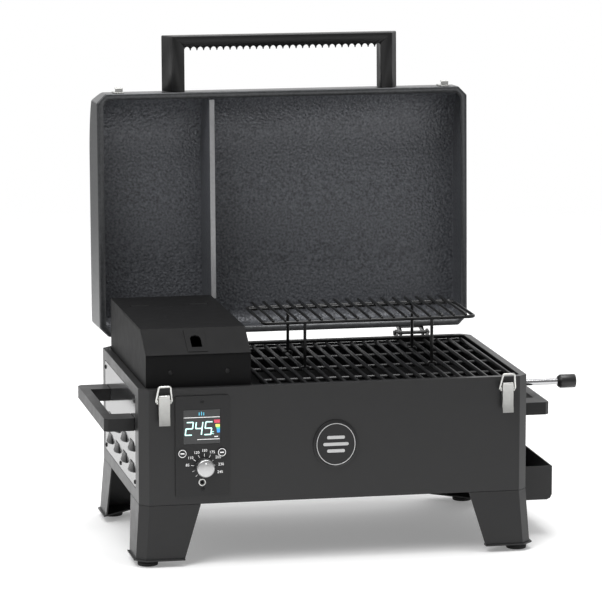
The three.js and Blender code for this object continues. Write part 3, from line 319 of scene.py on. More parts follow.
RUBBER = surface("rubber", (0.009, 0.009, 0.009), 0.8, mottle=0.2, grain=500, bump=[("noise", 900, 0.05)])
PLASTIC = surface("black_plastic", (0.011, 0.011, 0.0115), 0.4, mottle=0.1, grain=300,
                  bump=[("noise", 1600, 0.02)])
PANEL = surface("panel_coat", (0.0095, 0.0095, 0.01), 0.45, mottle=0.08, grain=200,
                bump=[("noise", 1500, 0.015)], Specular_IOR_Level=0.4)
WHITE = surface("white_plastic", (0.72, 0.72, 0.7), 0.35, mottle=0.03, grain=300)
SCREEN = surface("screen", (0.03, 0.031, 0.032), 0.2, mottle=0.1, grain=40)
# White print: its emission is a painted glow, as no lamp lights these marks.
INK_PAINTED_GLOW = glowing("white_ink_painted_glow", (0.85, 0.85, 0.85), 0.35)
DIGITS = glowing("lit_digits", (0.6, 0.98, 0.92), 0.9)

# ---------------------------------------------------------------------------------------------
# Mesh tools. Each adds faces to a bmesh, in millimetres.


def prism(bm, axis, start, end, *loops):
    """Extrudes outlines along an axis. The first is the edge and the others are holes. An outline's
    two coordinates are the other two axes, in the order x, y, z."""
    place = {
        "x": lambda p, d: (d, p[0], p[1]),
        "y": lambda p, d: (p[0], d, p[1]),
        "z": lambda p, d: (p[0], p[1], d),
    }[axis]
    rings = [[bm.verts.new(place(p, d)) for loop in loops for p in loop] for d in (start, end)]
    for triangle in tessellate_polygon([[Vector((u, v, 0)) for u, v in loop] for loop in loops]):
        for ring in rings:
            bm.faces.new([ring[i] for i in triangle])
    first = 0
    for loop in loops:
        for i in range(len(loop)):
            j = first + (i + 1) % len(loop)
            i += first
            bm.faces.new([rings[0][i], rings[0][j], rings[1][j], rings[1][i]])
        first += len(loop)


def block(bm, low, high):
    x0, y0, z0 = low
    x1, y1, z1 = high
    prism(bm, "z", z0, z1, [(x0, y0), (x1, y0), (x1, y1), (x0, y1)])


def fillet(points, radius, steps=6, closed=False):
    """Rounds the corners of a path."""
    points = [Vector(p) for p in points]
    count = len(points)
    rounded = []
    for i, corner in enumerate(points):
        if not closed and i in (0, count - 1):
            rounded.append(corner)
            continue
        before, after = points[i - 1], points[(i + 1) % count]
        a, b = (before - corner), (after - corner)
        angle = a.angle(b)
        cut = min(radius / math.tan(angle / 2), 0.48 * a.length, 0.48 * b.length)
        start, end = corner + a.normalized() * cut, corner + b.normalized() * cut
        for k in range(steps + 1):
            t = k / steps
            rounded.append(start.lerp(corner, t).lerp(corner.lerp(end, t), t))
    return rounded


def tube(bm, path, radius, sides=12, closed=False):
    """Sweeps a circle along a path. Open ends are domed."""
    path = [Vector(p) for p in path]
    count = len(path)
    along = []
    for i in range(count):
        after = path[(i + 1) % count] if closed or i < count - 1 else path[i]
        before = path[i - 1] if closed or i > 0 else path[i]
        along.append((after - before).normalized())
    normal = along[0].orthogonal().normalized()
    stations = []
    for i in range(count):
        normal = (normal - along[i] * normal.dot(along[i])).normalized()
        stations.append((path[i], along[i], normal.copy(), radius))
    if not closed:
        for end, sign in ((0, -1), (-1, 1)):
            point, direction, side, _ = stations[end]
            for angle in (0.6, 1.15):
                reach = direction * (sign * radius * 0.7 * math.sin(angle))
                extra = (point + reach, direction, side, radius * math.cos(angle))
                stations.insert(0, extra) if end == 0 else stations.append(extra)
    rings = []
    for point, direction, side, r in stations:
        other = direction.cross(side)
        ring = []
        for k in range(sides):
            angle = 2 * math.pi * k / sides
            ring.append(bm.verts.new(point + r * (side * math.cos(angle) + other * math.sin(angle))))
        rings.append(ring)
    pairs = list(zip(rings, rings[1:])) + ([(rings[-1], rings[0])] if closed else [])
    for a, b in pairs:
        for k in range(sides):
            m = (k + 1) % sides
            bm.faces.new([a[k], a[m], b[m], b[k]])
    if not closed:
        bm.faces.new(rings[0])
        bm.faces.new(rings[-1])


def lathe(bm, profile, origin, axis, sides=32, flute=None):
    """Turns a profile of (radius, height) round an axis. flute(angle) scales radii at an angle."""
    direction = Vector(axis).normalized()
    side = direction.orthogonal().normalized()
    other = direction.cross(side)
    rings = []
    for r, h in profile:
        centre = Vector(origin) + direction * h
        if r < 1e-6:
            rings.append([bm.verts.new(centre)])
            continue
        ring = []
        for k in range(sides):
            angle = 2 * math.pi * k / sides
            scale = flute(k) if flute else 1
            ring.append(bm.verts.new(centre + r * scale * (side * math.cos(angle) + other * math.sin(angle))))
        rings.append(ring)
    for a, b in zip(rings, rings[1:]):
        for k in range(sides):
            m = (k + 1) % sides
            face = [a[k % len(a)], a[m % len(a)], b[m % len(b)], b[k % len(b)]]
            bm.faces.new(list(dict.fromkeys(face)))


def arc(cx, cy, radius, start, end, steps):
    """Points of an arc, angles in degrees."""
    points = []
    for i in range(steps + 1):
        angle = math.radians(start + (end - start) * i / steps)
        points.append((cx + radius * math.cos(angle), cy + radius * math.sin(angle)))
    return points


def circle(cx, cy, radius, sides=32):
    return arc(cx, cy, radius, 0, 360, sides)[:-1]


def rounded_box(x0, x1, z0, z1, radius, steps=5):
    """Outline of a rectangle with round corners."""
    points = []
    for cx, cz, turn in ((x1, z0, -90), (x1, z1, 0), (x0, z1, 90), (x0, z0, 180)):
        px = cx - radius if cx == x1 else cx + radius
        pz = cz - radius if cz == z1 else cz + radius
        points += arc(px, pz, radius, turn, turn + 90, steps)
    return points


def chamfered(width, depth, corner, inset=0.0):
    w, d = width / 2 - inset, depth / 2 - inset
    c = corner - inset * (2 - math.sqrt(2))
    return [(w - c, -d), (w, c - d), (w, d - c), (w - c, d), (c - w, d), (-w, d - c), (-w, c - d), (c - w, -d)]


def smooth(mesh, angle):
    mesh.polygons.foreach_set("use_smooth", [True] * len(mesh.polygons))
    mesh.set_sharp_from_angle(angle=math.radians(angle))


def soften(obj, width, segments=2, angle=30):
    """Rounds the sharp edges of an object."""
    bevel = obj.modifiers.new("edges", "BEVEL")
    bevel.width = width * MM
    bevel.segments = segments
    bevel.limit_method = "ANGLE"
    bevel.angle_limit = math.radians(angle)
    bevel.harden_normals = True
    bevel.miter_outer = "MITER_ARC"


def piece(name, bm, material, body, replaces=(), placed=None, bevel=0.0, segments=2, sheet=0.0,
          inside=None, crease=40, bevel_angle=30):
    """Makes an object of a bmesh drawn in millimetres, and sets it on its CAD body. A sheet is drawn
    as its middle surface and given a thickness."""
    if placed is not None:
        bm.transform(placed)
    bm.transform(TO_ROW)
    bmesh.ops.remove_doubles(bm, verts=bm.verts, dist=1e-7)
    bmesh.ops.dissolve_limit(bm, angle_limit=math.radians(0.05), verts=bm.verts, edges=bm.edges)
    bmesh.ops.recalc_face_normals(bm, faces=bm.faces)
    mesh = bpy.data.meshes.new(name)
    bm.to_mesh(mesh)
    bm.free()
    smooth(mesh, crease)
    mesh.materials.append(material)
    if inside:
        mesh.materials.append(inside)
    obj = bpy.data.objects.new(name, mesh)
    bpy.context.scene.collection.objects.link(obj)
    if bevel:
        soften(obj, bevel, segments, bevel_angle)
    if sheet:
        solid = obj.modifiers.new("thickness", "SOLIDIFY")
        solid.thickness = sheet * MM
        solid.offset = 0
        solid.use_even_offset = True
        solid.material_offset = 1 if inside else 0
    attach(obj, body)
    if replaces:
        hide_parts(*replaces)
    return obj


def dress(node, material, bevel=0.5, segments=2):
    """Gives a CAD node its material, joins its flat faces and rounds its edges."""
    obj = frame["nodes"][node]
    obj.data.materials.clear()
    obj.data.materials.append(material)
    obj.modifiers.new("weld", "WELD").merge_threshold = 1e-6
    flat = obj.modifiers.new("flat", "DECIMATE")
    flat.decimate_type = "DISSOLVE"
    flat.angle_limit = math.radians(0.5)
    if bevel:
        soften(obj, bevel, segments)


# ---------------------------------------------------------------------------------------------
# Cabinet. The folded sheets keep their CAD shape, with rounded edges.

dress("cabinet_shell", POWDER, 0.9, 3)
dress("cabinet_back", POWDER, 0.4)
dress("bottom_cover", BLACK_COAT, 0.3)
dress("hopper_box", HOPPER_COAT, 0.6)
dress("hopper_lid", HOPPER_COAT, 0.5)
dress("chamber_bulkhead", BLACK_COAT, 0.3)
dress("chamber_floor", BLACK_COAT, 0.3)
dress("grate_ledge_front", BLACK_COAT, 0.4)
dress("deflector_plate", BLACK_COAT, 0.3)
dress("flame_slide", BLACK_COAT, 0.3)
dress("auger_motor", BLACK_COAT, 1.0)
dress("auger_tube", STEEL, 0.3)
dress("auger_screw", STEEL, 0.0)
dress("fire_pot", STEEL, 0.3)
dress("fan_frame", PLASTIC, 0.5)
dress("fan_rotor", PLASTIC, 0.3)
dress("temperature_probe", STEEL, 0.4)
dress("drain_spout", STEEL, 0.3)
dress("grease_tray", POWDER, 0.6)
dress("power_inlet", PLASTIC, 0.6)
for side in ("left", "right"):
    dress(f"carry_handle_{side}", BLACK_COAT, 0.7, 3)
    dress(f"hinge_bracket_{side}", HINGE_STEEL, 0.5)
    dress(f"hinge_leaf_{side}", HINGE_STEEL, 0.4)
    for end in ("front", "back"):
        dress(f"leg_{end}_{side}", POWDER, 0.8, 3)


def screw(bm, place, axis, radius=3.0, height=1.6):
    """Domed screw head with a round socket, standing on a surface."""
    dome = [(0, height * 0.45), (radius * 0.42, height * 0.45), (radius * 0.5, height * 0.98)]
    dome += [(radius * r, height * h) for r, h in ((0.72, 0.92), (0.9, 0.66), (1.0, 0.3), (1.0, 0.0))]
    lathe(bm, dome + [(0, 0)], place, axis, sides=18)


def screws(name, places, axis, body, material, radius=3.0, height=1.6):
    bm = bmesh.new()
    for place in places:
        screw(bm, place, axis, radius, height)
    piece(name, bm, material, body)


def feet():
    """Moulded rubber feet with a rounded tread and a shallow groove."""
    for side in ("left", "right"):
        for end in ("front", "back"):
            low, high = corners(f"foot_{end}_{side}")
            middle = (low + high) / 2
            radius, height = (high.x - low.x) / 2, high.z
            bm = bmesh.new()
            profile = [(0, 0), (radius - 1.6, 0), (radius - 0.5, 0.4), (radius, 1.4), (radius, height * 0.55)]
            profile += [(radius - 0.7, height * 0.62), (radius - 0.7, height * 0.72), (radius, height * 0.8)]
            profile += [(radius - 0.2, height - 0.2), (radius - 0.6, height), (0, height)]
            lathe(bm, profile, (middle.x, middle.y, 0), (0, 0, 1), sides=40)
            piece(f"rubber_foot_{end}_{side}", bm, RUBBER, "cabinet", [f"foot_{end}_{side}"])


def louvres():
    """Vent panel: a plate with two rows of pressed hoods, open underneath. The plate is not cut through there:
    dark patches on it are painted shade where the openings would be.
    """
    wall = -SIDE
    bm = bmesh.new()
    prism(bm, "x", wall, wall + SHEET, rounded_box(-128, 133, 98, 221, 3))
    prism(bm, "x", wall + SHEET, wall + SHEET + 1.5, rounded_box(-136, 141, 90, 228, 3))
    piece("louvre_panel", bm, SIDE_COAT, "cabinet", ["vent_panel"], bevel=0.5)
    bm = bmesh.new()
    across, up = 14, 8
    for z in (122, 150):
        for i in range(4):
            y = -99 + 62.7 * i
            grid = []
            for v in range(up + 1):
                rise = v / up
                half = 18.5 - 4.5 * rise
                row = []
                for u in range(across + 1):
                    t = -1 + 2 * u / across
                    bulge = 5.6 * (1 - rise) ** 0.8 * (1 - abs(t) ** 2.6)
                    row.append(bm.verts.new((wall - bulge - 0.1, y + half * t, z - 6 + 12 * rise)))
                grid.append(row)
            for lower, upper in zip(grid, grid[1:]):
                for u in range(across):
                    bm.faces.new([lower[u], lower[u + 1], upper[u + 1], upper[u]])
    piece("louvre_hoods", bm, SIDE_COAT, "cabinet", sheet=1.0, crease=70)
    # Dark patches under the hoods: painted shade standing in for the openings into the cabinet.
    bm = bmesh.new()
    for z in (122, 150):
        for i in range(4):
            y = -99 + 62.7 * i
            block(bm, (wall - 0.15, y - 15, z - 6), (wall + 0.2, y + 15, z - 1))
    piece("louvre_painted_shade", bm, PANEL, "cabinet")
    places = [(wall, y, z) for y, z in ((128.9, 212.7), (126.7, 104.4), (0.6, 104.9), (-123, 105), (-123, 213))]
    screws("vent_panel_screws", places, (-1, 0, 0), "cabinet", BLACK_COAT)


def grease_hardware():
    """Bolts of the carrying handles, and the screw on the right side."""
    for side, sx in (("left", -1), ("right", 1)):
        places = [(sx * (SIDE + 2.3), y, z) for y in (-106, 106) for z in (178, 186)]
        screws(f"carry_handle_bolts_{side}", places, (sx, 0, 0), "cabinet", BLACK_COAT, 2.4, 1.4)
    screws("side_screw", [(SIDE, -128, 140)], (1, 0, 0), "cabinet", BLACK_COAT)


def slide_rod():
    """Rod of the flame slide with its knob and the collar that it runs in."""
    low, high = corners("slide_rod")
    y, z = (low.y + high.y) / 2, (low.z + high.z) / 2
    radius = (high.z - low.z) / 2
    bm = bmesh.new()
    length = high.x - low.x
    profile = [(0, 0), (radius - 0.6, 0), (radius, 0.6)]
    profile += [(radius, length - 0.6), (radius - 0.6, length), (0, length)]
    lathe(bm, profile, (low.x, y, z), (1, 0, 0), sides=40)
    piece("flame_rod", bm, CHROME, "flame_slide", ["slide_rod"])
    low, high = corners("slide_knob")
    length, radius = high.x - low.x, (high.y - low.y) / 2
    profile = [(0, 0), (6.4, 0), (6.9, 0.3), (radius - 0.3, 3.2), (radius, 3.7)]
    profile += [(radius, length - 0.9), (radius - 0.3, length - 0.3), (radius - 0.9, length), (0, length)]
    bm = bmesh.new()
    lathe(bm, profile, (low.x, y, z), (1, 0, 0), sides=48)
    piece("flame_knob", bm, PLASTIC, "flame_slide", ["slide_knob"], crease=50)
    low, high = corners("rod_bushing")
    bm = bmesh.new()
    bore, outer, depth = 4.8, (high.y - low.y) / 2, high.x - low.x
    profile = [(bore, 0), (outer, 0), (outer, 1.8), (outer - 0.6, 2.4), (7.0, 2.8)]
    profile += [(6.6, depth - 0.4), (6.2, depth), (bore + 0.3, depth), (bore, depth - 0.3), (bore, 0)]
    lathe(bm, profile, (low.x, y, z), (1, 0, 0), sides=40)
    piece("rod_collar", bm, NICKEL, "cabinet", ["rod_bushing"])


def hopper_details():
    """Screws on the hopper front."""
    low, _ = corners("hopper_box")
    places = [(x, low.y, 253.9) for x in (-217.0, -141.7)]
    screws("hopper_screws", places, (0, -1, 0), "cabinet", BLACK_COAT)


# ---------------------------------------------------------------------------------------------
# Grates.


def cooking_grate():
    bm = bmesh.new()
    z = GRATE_TOP - GRATE_RADIUS
    last = GRATE_START + GRATE_PITCH * (GRATE_BARS - 1)
    for i in range(GRATE_BARS):
        x = GRATE_START + GRATE_PITCH * i
        tube(bm, [(x, -149.5, z), (x, 149.5, z)], GRATE_RADIUS, 14)
    for y in (-90, -12, 66, 143):
        tube(bm, [(GRATE_START, y, z - 3), (last, y, z - 3)], GRATE_RADIUS, 14)
    piece("grate_bars", bm, PORCELAIN, "cooking_grate", ["cooking_grate"], crease=60)


def warming_rack():
    bm = bmesh.new()
    x0, x1, y0, y1 = -72, 217, -41, 88
    frame_path = [(x0, y0, RACK_Z), (x1, y0, RACK_Z), (x1, y1, RACK_Z), (x0, y1, RACK_Z)]
    tube(bm, fillet(frame_path, 9, closed=True), 2.3, 12, closed=True)
    for i in range(17):
        x = -59.5 + 16.5 * i
        tube(bm, [(x, y0 - 0.5, RACK_Z + 3.1), (x, y1 + 22.5, RACK_Z + 3.1)], 2.0, 10)
    tube(bm, [(x0, RACK_LEG_Y, RACK_Z), (x1, RACK_LEG_Y, RACK_Z)], 2.2, 12)
    foot = GRATE_TOP + 2.2
    for k in (4, 14):
        x = GRATE_START + GRATE_PITCH * k
        for y in (y0, RACK_LEG_Y):
            tube(bm, [(x, y, foot), (x, y, RACK_Z)], 2.1, 12)
            prong = [(x - 5.2, y, foot - 5), (x - 5.2, y, foot), (x + 5.2, y, foot), (x + 5.2, y, foot - 5)]
            tube(bm, fillet(prong, 3), 1.6, 10)
    piece("rack_wires", bm, PORCELAIN, "warming_rack", ["warming_rack"], crease=60)


# ---------------------------------------------------------------------------------------------
# Lid.


def lid_profile(inset):
    """Side view of the lid from its front rim over the crown to its back rim, closed, as (y, z)."""
    half, crown = LID_DEPTH / 2 - inset, LID_CROWN - inset
    run, rise = 96 - inset, crown - LID_FRONT_WALL
    radius = LID_CROWN - LID_BACK_WALL - inset
    points = [(-half, inset)]
    for i in range(25):
        angle = math.pi / 2 * i / 24
        points.append((run * (1 - math.cos(angle)) - half, LID_FRONT_WALL + rise * math.sin(angle)))
    for i in range(13):
        angle = math.pi / 2 * i / 12
        points.append((half - radius * (1 - math.sin(angle)), LID_BACK_WALL + radius * math.cos(angle)))
    points.append((half, inset))
    return [(y, LID_RIM + z) for y, z in points]


def split_at(profile, level):
    """Adds a point where the profile crosses y = level."""
    points = [profile[0]]
    for (y0, z0), (y1, z1) in zip(profile, profile[1:]):
        if min(y0, y1) + 0.05 < level < max(y0, y1) - 0.05:
            t = (level - y0) / (y1 - y0)
            points.append((level, z0 + t * (z1 - z0)))
        points.append((y1, z1))
    return points


def lid_shell():
    """Pressed shell with a flange folded in round its rim, drawn as one sheet."""
    inset = SHEET / 2
    outline = chamfered(LID_WIDTH, LID_DEPTH, LID_CORNER, inset)
    half_width, limit = outline[1][0], outline[2][1]
    profile = split_at(split_at(lid_profile(inset), -limit), limit)
    bm = bmesh.new()
    rows = []
    for y, z in profile:
        half = half_width - max(0.0, abs(y) - limit)
        rows.append([bm.verts.new((-half, y, z)), bm.verts.new((half, y, z))])
    for (a, b), (c, d) in zip(rows, rows[1:]):
        bm.faces.new([a, b, d, c])
    rim = LID_RIM + inset
    for side, sign in ((0, -1), (1, 1)):
        front = [row[side] for row, (y, _) in zip(rows, profile) if y <= -limit + 1e-3]
        middle = [row[side] for row, (y, _) in zip(rows, profile) if abs(y) <= limit + 1e-3]
        back = [row[side] for row, (y, _) in zip(rows, profile) if y >= limit - 1e-3]
        front_foot = bm.verts.new((sign * half_width, -limit, rim))
        back_foot = bm.verts.new((sign * half_width, limit, rim))
        bm.faces.new(front + [front_foot])
        bm.faces.new([front_foot] + middle + [back_foot])
        bm.faces.new(back + [back_foot])
    outer = [bm.verts.new((x, y, rim)) for x, y in outline]
    inner = [bm.verts.new((x, y, rim)) for x, y in chamfered(LID_WIDTH, LID_DEPTH, LID_CORNER, LID_FLANGE)]
    for i in range(8):
        j = (i + 1) % 8
        bm.faces.new([outer[i], outer[j], inner[j], inner[i]])
    piece("lid_pressing", bm, LID_OUTSIDE, "lid", ["lid_shell"], placed=OPENED,
          bevel=1.6, segments=3, sheet=SHEET, inside=LID_INSIDE, crease=32)


def lid_divider():
    """Partition between the hopper side and the cooking side, with a bare folded edge."""
    bm = bmesh.new()
    prism(bm, "x", -104, -102.5, [(y, z + 0.6) for y, z in lid_profile(SHEET + 0.6)])
    piece("lid_partition", bm, LID_INSIDE, "lid", ["lid_divider"], placed=OPENED, bevel=0.3)
    bm = bmesh.new()
    block(bm, (-104, -156.5, LID_RIM + 1.0), (-97, 119, LID_RIM + 2.6))
    piece("partition_edge", bm, STEEL, "lid", placed=OPENED, bevel=0.5)


def lid_handle():
    """Handle folded from one sheet: a web with a scalloped inner edge, and flanges round it."""
    inset = SHEET / 2
    root, tip = -LID_DEPTH / 2 - 0.3, -LID_DEPTH / 2 - HANDLE_REACH + inset
    half, inner = HANDLE_HALF - inset, HANDLE_HALF - HANDLE_BAR + inset
    valley = tip + HANDLE_GRIP - inset
    low, high = LID_RIM + 1.5 + inset, LID_RIM + 1.5 + HANDLE_CHANNEL
    pitch = 2 * inner / TEETH
    bm = bmesh.new()

    def vert(x, y, z=low):
        return bm.verts.new((x, y, z))

    corner_left, corner_right = vert(-half, tip), vert(half, tip)
    root_left, root_right = vert(-half, root), vert(half, root)
    bay_left, bay_right = vert(-inner, root), vert(inner, root)
    arch_left, arch_right = vert(-inner, valley + 1.2), vert(inner, valley + 1.2)
    edge = [arch_right]
    for i in range(TEETH):
        centre = inner - pitch * (i + 0.5)
        reach = pitch / 2 - 0.55
        for k in range(9):
            angle = math.pi * k / 8
            y = valley + TOOTH_DEPTH - TOOTH_DEPTH * math.sin(angle)
            if (i == 0 and k == 0) or (i == TEETH - 1 and k == 8):
                continue
            edge.append(vert(centre + reach * math.cos(angle), y))
    edge.append(arch_left)
    web = [corner_left, corner_right, root_right, bay_right] + edge + [bay_left, root_left]
    bm.faces.new(web)
    flare = HANDLE_FLARE
    top = [vert(-half - flare, tip, high), vert(half + flare, tip, high)]
    bm.faces.new([corner_left, corner_right, top[1], top[0]])
    for sign, corner, foot, bay, arch in (
        (-1, corner_left, root_left, bay_left, arch_left),
        (1, corner_right, root_right, bay_right, arch_right),
    ):
        outer_top = top[0] if sign < 0 else top[1]
        outer_root = vert(sign * (half + flare), root, high)
        bm.faces.new([corner, foot, outer_root, outer_top])
        bm.faces.new([bay, arch, vert(sign * inner, valley + 1.2, high), vert(sign * inner, root, high)])
        tab = [vert(sign * inner, root - 1, low), vert(sign * half, root - 1, low)]
        tab += [vert(sign * (half + flare - 2), root - 1, high), vert(sign * inner, root - 1, high)]
        bm.faces.new(tab)
    piece("lid_grip", bm, BLACK_COAT, "lid", ["lid_handle"], placed=OPENED,
          bevel=1.3, segments=3, sheet=SHEET, crease=50)


def lid_hardware():
    """Keepers for the latches, hinge leaves' screws and pins."""
    wall = -LID_DEPTH / 2 - 0.3
    for side, sx in (("left", -1), ("right", 1)):
        x = sx * LATCH_X
        bm = bmesh.new()
        prism(bm, "y", wall - 1.5, wall, rounded_box(x - 7, x + 7, LID_RIM + 1.5, LID_RIM + 26, 2.5))
        hook = [(wall - 1, LID_RIM + 2.5), (wall - 1, LID_RIM + 4), (wall - 5.6, LID_RIM + 4)]
        hook += [(wall - 6.3, LID_RIM + 4.8), (wall - 6.3, LID_RIM + 8.5), (wall - 7.7, LID_RIM + 8.5)]
        hook += [(wall - 7.7, LID_RIM + 3.9), (wall - 7.2, LID_RIM + 2.9), (wall - 6.4, LID_RIM + 2.5)]
        prism(bm, "x", x - 5.2, x + 5.2, hook)
        for z in (LID_RIM + 14, LID_RIM + 21):
            screw(bm, (x, wall - 1.5, z), (0, -1, 0), 1.9, 1.0)
        piece(f"keeper_{side}", bm, NICKEL, "lid", [f"latch_keeper_{side}"],
              placed=OPENED, bevel=0.25)
        low, high = corners(f"hinge_bracket_{side}")
        middle = (low.x + high.x) / 2
        back = BODY_DEPTH / 2 + 2.3
        places = [(middle + dx, back, 211) for dx in (-13, 13)]
        screws(f"hinge_bracket_screws_{side}", places, (0, 1, 0), "cabinet", HINGE_STEEL, 2.8)
        bm = bmesh.new()
        for dx in (-10, 10):
            screw(bm, (middle + dx, LID_DEPTH / 2 + 2.3, LID_RIM + 23), (0, 1, 0), 2.8, 1.6)
        piece(f"hinge_leaf_screws_{side}", bm, HINGE_STEEL, "lid", placed=OPENED)
        low, high = corners(f"hinge_pin_{side}")
        bm = bmesh.new()
        z, y = (low.z + high.z) / 2, (low.y + high.y) / 2
        length, radius, head = high.x - low.x, 2.5, (high.z - low.z) / 2
        profile = [(0, 0), (head - 0.8, 0), (head, 0.8), (head, 2.0), (head - 0.3, 2.5), (radius, 2.5)]
        profile += [(radius, length - 0.6), (radius - 0.6, length), (0, length)]
        lathe(bm, profile, (low.x, y, z), (1, 0, 0), sides=28)
        piece(f"hinge_axle_{side}", bm, HINGE_STEEL, "cabinet", [f"hinge_pin_{side}"])


# ---------------------------------------------------------------------------------------------
# Draw latches.


def latches():
    for side, sx in (("left", -1), ("right", 1)):
        x = sx * LATCH_X
        y = FRONT - 0.3
        bm = bmesh.new()
        prism(bm, "y", y - 1.5, y, rounded_box(x - 5.5, x + 5.5, 193, 226.2, 1.5))
        for ear in (-1, 1):
            ear_outline = [(y - 1.4, 218.5), (y - 1.4, 226.3), (FRONT - 8.1, 226.2), (FRONT - 8.1, 221.5)]
            prism(bm, "x", x + ear * 4.8 - 0.6, x + ear * 4.8 + 0.6, ear_outline)
        pin = [(0, -8), (1.1, -8), (1.5, -7.6), (1.5, 7.6), (1.1, 8), (0, 8)]
        lathe(bm, pin, (x, FRONT - 5.5, 224.5), (1, 0, 0), sides=16)
        piece(f"latch_plate_{side}", bm, NICKEL, "cabinet", [f"latch_base_{side}"], bevel=0.2)

        bm = bmesh.new()
        strip = [(FRONT - 10, 226.5), (FRONT - 11.5, 226.5), (FRONT - 11.5, 200), (FRONT - 13.4, 189)]
        strip += [(FRONT - 12.0, 188.6), (FRONT - 10, 200)]
        prism(bm, "x", x - 7.2, x + 7.2, strip)
        lathe(bm, [(0, -7.2), (1.3, -7.2), (1.7, -6.8), (1.7, 6.8), (1.3, 7.2), (0, 7.2)],
              (x, FRONT - 10.4, 226.8), (1, 0, 0), sides=20)
        cheek = [(FRONT - 2.2, 220), (FRONT - 2.2, 226.5), (FRONT - 3.7, 228), (FRONT - 10.5, 228)]
        cheek += [(FRONT - 10.5, 200), (FRONT - 9, 200)]
        holes = [circle(FRONT - 5.5, 224.5, 1.8, 16), circle(FRONT - 7, 219.5, 1.6, 16)]
        for cheek_side in (-1, 1):
            cx = x + cheek_side * 6.55
            prism(bm, "x", cx - 0.65, cx + 0.65, cheek, *holes)
        lever = f"latch_lever_{side}"
        piece(f"latch_handle_{side}", bm, NICKEL, lever, [lever], bevel=0.35)

        bm = bmesh.new()
        foot, top = (FRONT - 7, 219.5), (FRONT - 14.5, 240.7)
        path = [(x - 5.8, *foot), (x - 10.6, *foot), (x - 7.6, *top)]
        path += [(x + 7.6, *top), (x + 10.6, *foot), (x + 5.8, *foot)]
        tube(bm, fillet(path, 2.6), 1.3, 14)
        for end in (-1, 1):
            eye = [(1.4, 0), (2.6, 0), (2.9, 0.4), (2.9, 1.6), (2.6, 2.0), (1.4, 2.0)]
            lathe(bm, eye + [(1.4, 0)], (x + end * 7.6, *foot), (end, 0, 0), sides=24)
        loop = f"latch_loop_{side}"
        piece(f"latch_wire_{side}", bm, NICKEL, loop, [loop], crease=60)


# ---------------------------------------------------------------------------------------------
# Control panel and badge.


def control_plate():
    low, high = corners("control_panel")
    bm = bmesh.new()
    holes = [
        rounded_box(-203.4, -154.1, 161, 207, 0.8),
        circle(KNOB_X, KNOB_Z, 3.6, 24),
        circle(-204.8, 149.6, 6.0),
        circle(-152.6, 149.6, 6.0),
        circle(-178.7, 110.5, 3.5, 24),
    ]
    prism(bm, "y", PANEL_FACE, FRONT - 0.3, rounded_box(low.x, high.x, 92, 225, 2.0), *holes)
    piece("control_plate", bm, PANEL, "cabinet", ["control_panel"], bevel=0.35)
    screws("control_plate_screws", [(-178, PANEL_FACE, 217), (-177.5, PANEL_FACE, 101)], (0, -1, 0),
           "cabinet", BLACK_COAT, 2.4, 1.2)


def flat_mark(bm, outline, rise=0.12, *holes):
    """A printed mark: a film that stands a hair proud of the panel."""
    prism(bm, "y", PANEL_FACE - rise, PANEL_FACE + 0.02, outline, *holes)


def bar_mark(bm, x0, z0, x1, z1, width, rise=0.12):
    along = Vector((x1 - x0, z1 - z0)).normalized()
    across = Vector((-along.y, along.x)) * width / 2
    flat_mark(bm, [(x0 + across.x, z0 + across.y), (x1 + across.x, z1 + across.y),
                   (x1 - across.x, z1 - across.y), (x0 - across.x, z0 - across.y)], rise)


def number(bm, text, x, z, height):
    """Adds a printed number, centred on a point of the panel."""
    font = bpy.data.curves.new("number", "FONT")
    font.body = text
    font.size = height * 1.4
    font.align_x = "CENTER"
    font.align_y = "CENTER"
    font.extrude = 0.06
    font.resolution_u = 3
    holder = bpy.data.objects.new("number", font)
    bpy.context.scene.collection.objects.link(holder)
    mesh = bpy.data.meshes.new_from_object(holder.evaluated_get(bpy.context.evaluated_depsgraph_get()))
    start = len(bm.verts)
    bm.from_mesh(mesh)
    bm.verts.ensure_lookup_table()
    upright = Matrix.Translation((x, PANEL_FACE - 0.06, z)) @ Matrix.Rotation(math.pi / 2, 4, "X")
    bmesh.ops.transform(bm, matrix=upright, verts=bm.verts[start:])
    bpy.data.objects.remove(holder)
    bpy.data.meshes.remove(mesh)
    bpy.data.curves.remove(font)


def dial():
    """Ticks and temperatures round the selector."""
    bm = bmesh.new()
    temperatures = [85, 110, 120, 150, 175, 205, 230, 245]
    for i, temperature in enumerate(temperatures):
        angle = math.radians(172 - 27.5 * i)
        c, s = math.cos(angle), math.sin(angle)
        near, far = (13.6, 17.6) if i < 5 else (12.8, 14.6)
        bar_mark(bm, KNOB_X + near * c, KNOB_Z + near * s, KNOB_X + far * c, KNOB_Z + far * s, 0.5)
        x, z = KNOB_X + 22.3 * c, KNOB_Z + 21.6 * s
        number(bm, str(temperature), x, z, 3.6)
    for angle in (200, 228):
        a = math.radians(angle)
        c, s = math.cos(a), math.sin(a)
        bar_mark(bm, KNOB_X + 13.6 * c, KNOB_Z + 13.6 * s, KNOB_X + 16.8 * c, KNOB_Z + 16.8 * s, 0.4)
    piece("dial_marks", bm, INK_PAINTED_GLOW, "cabinet")


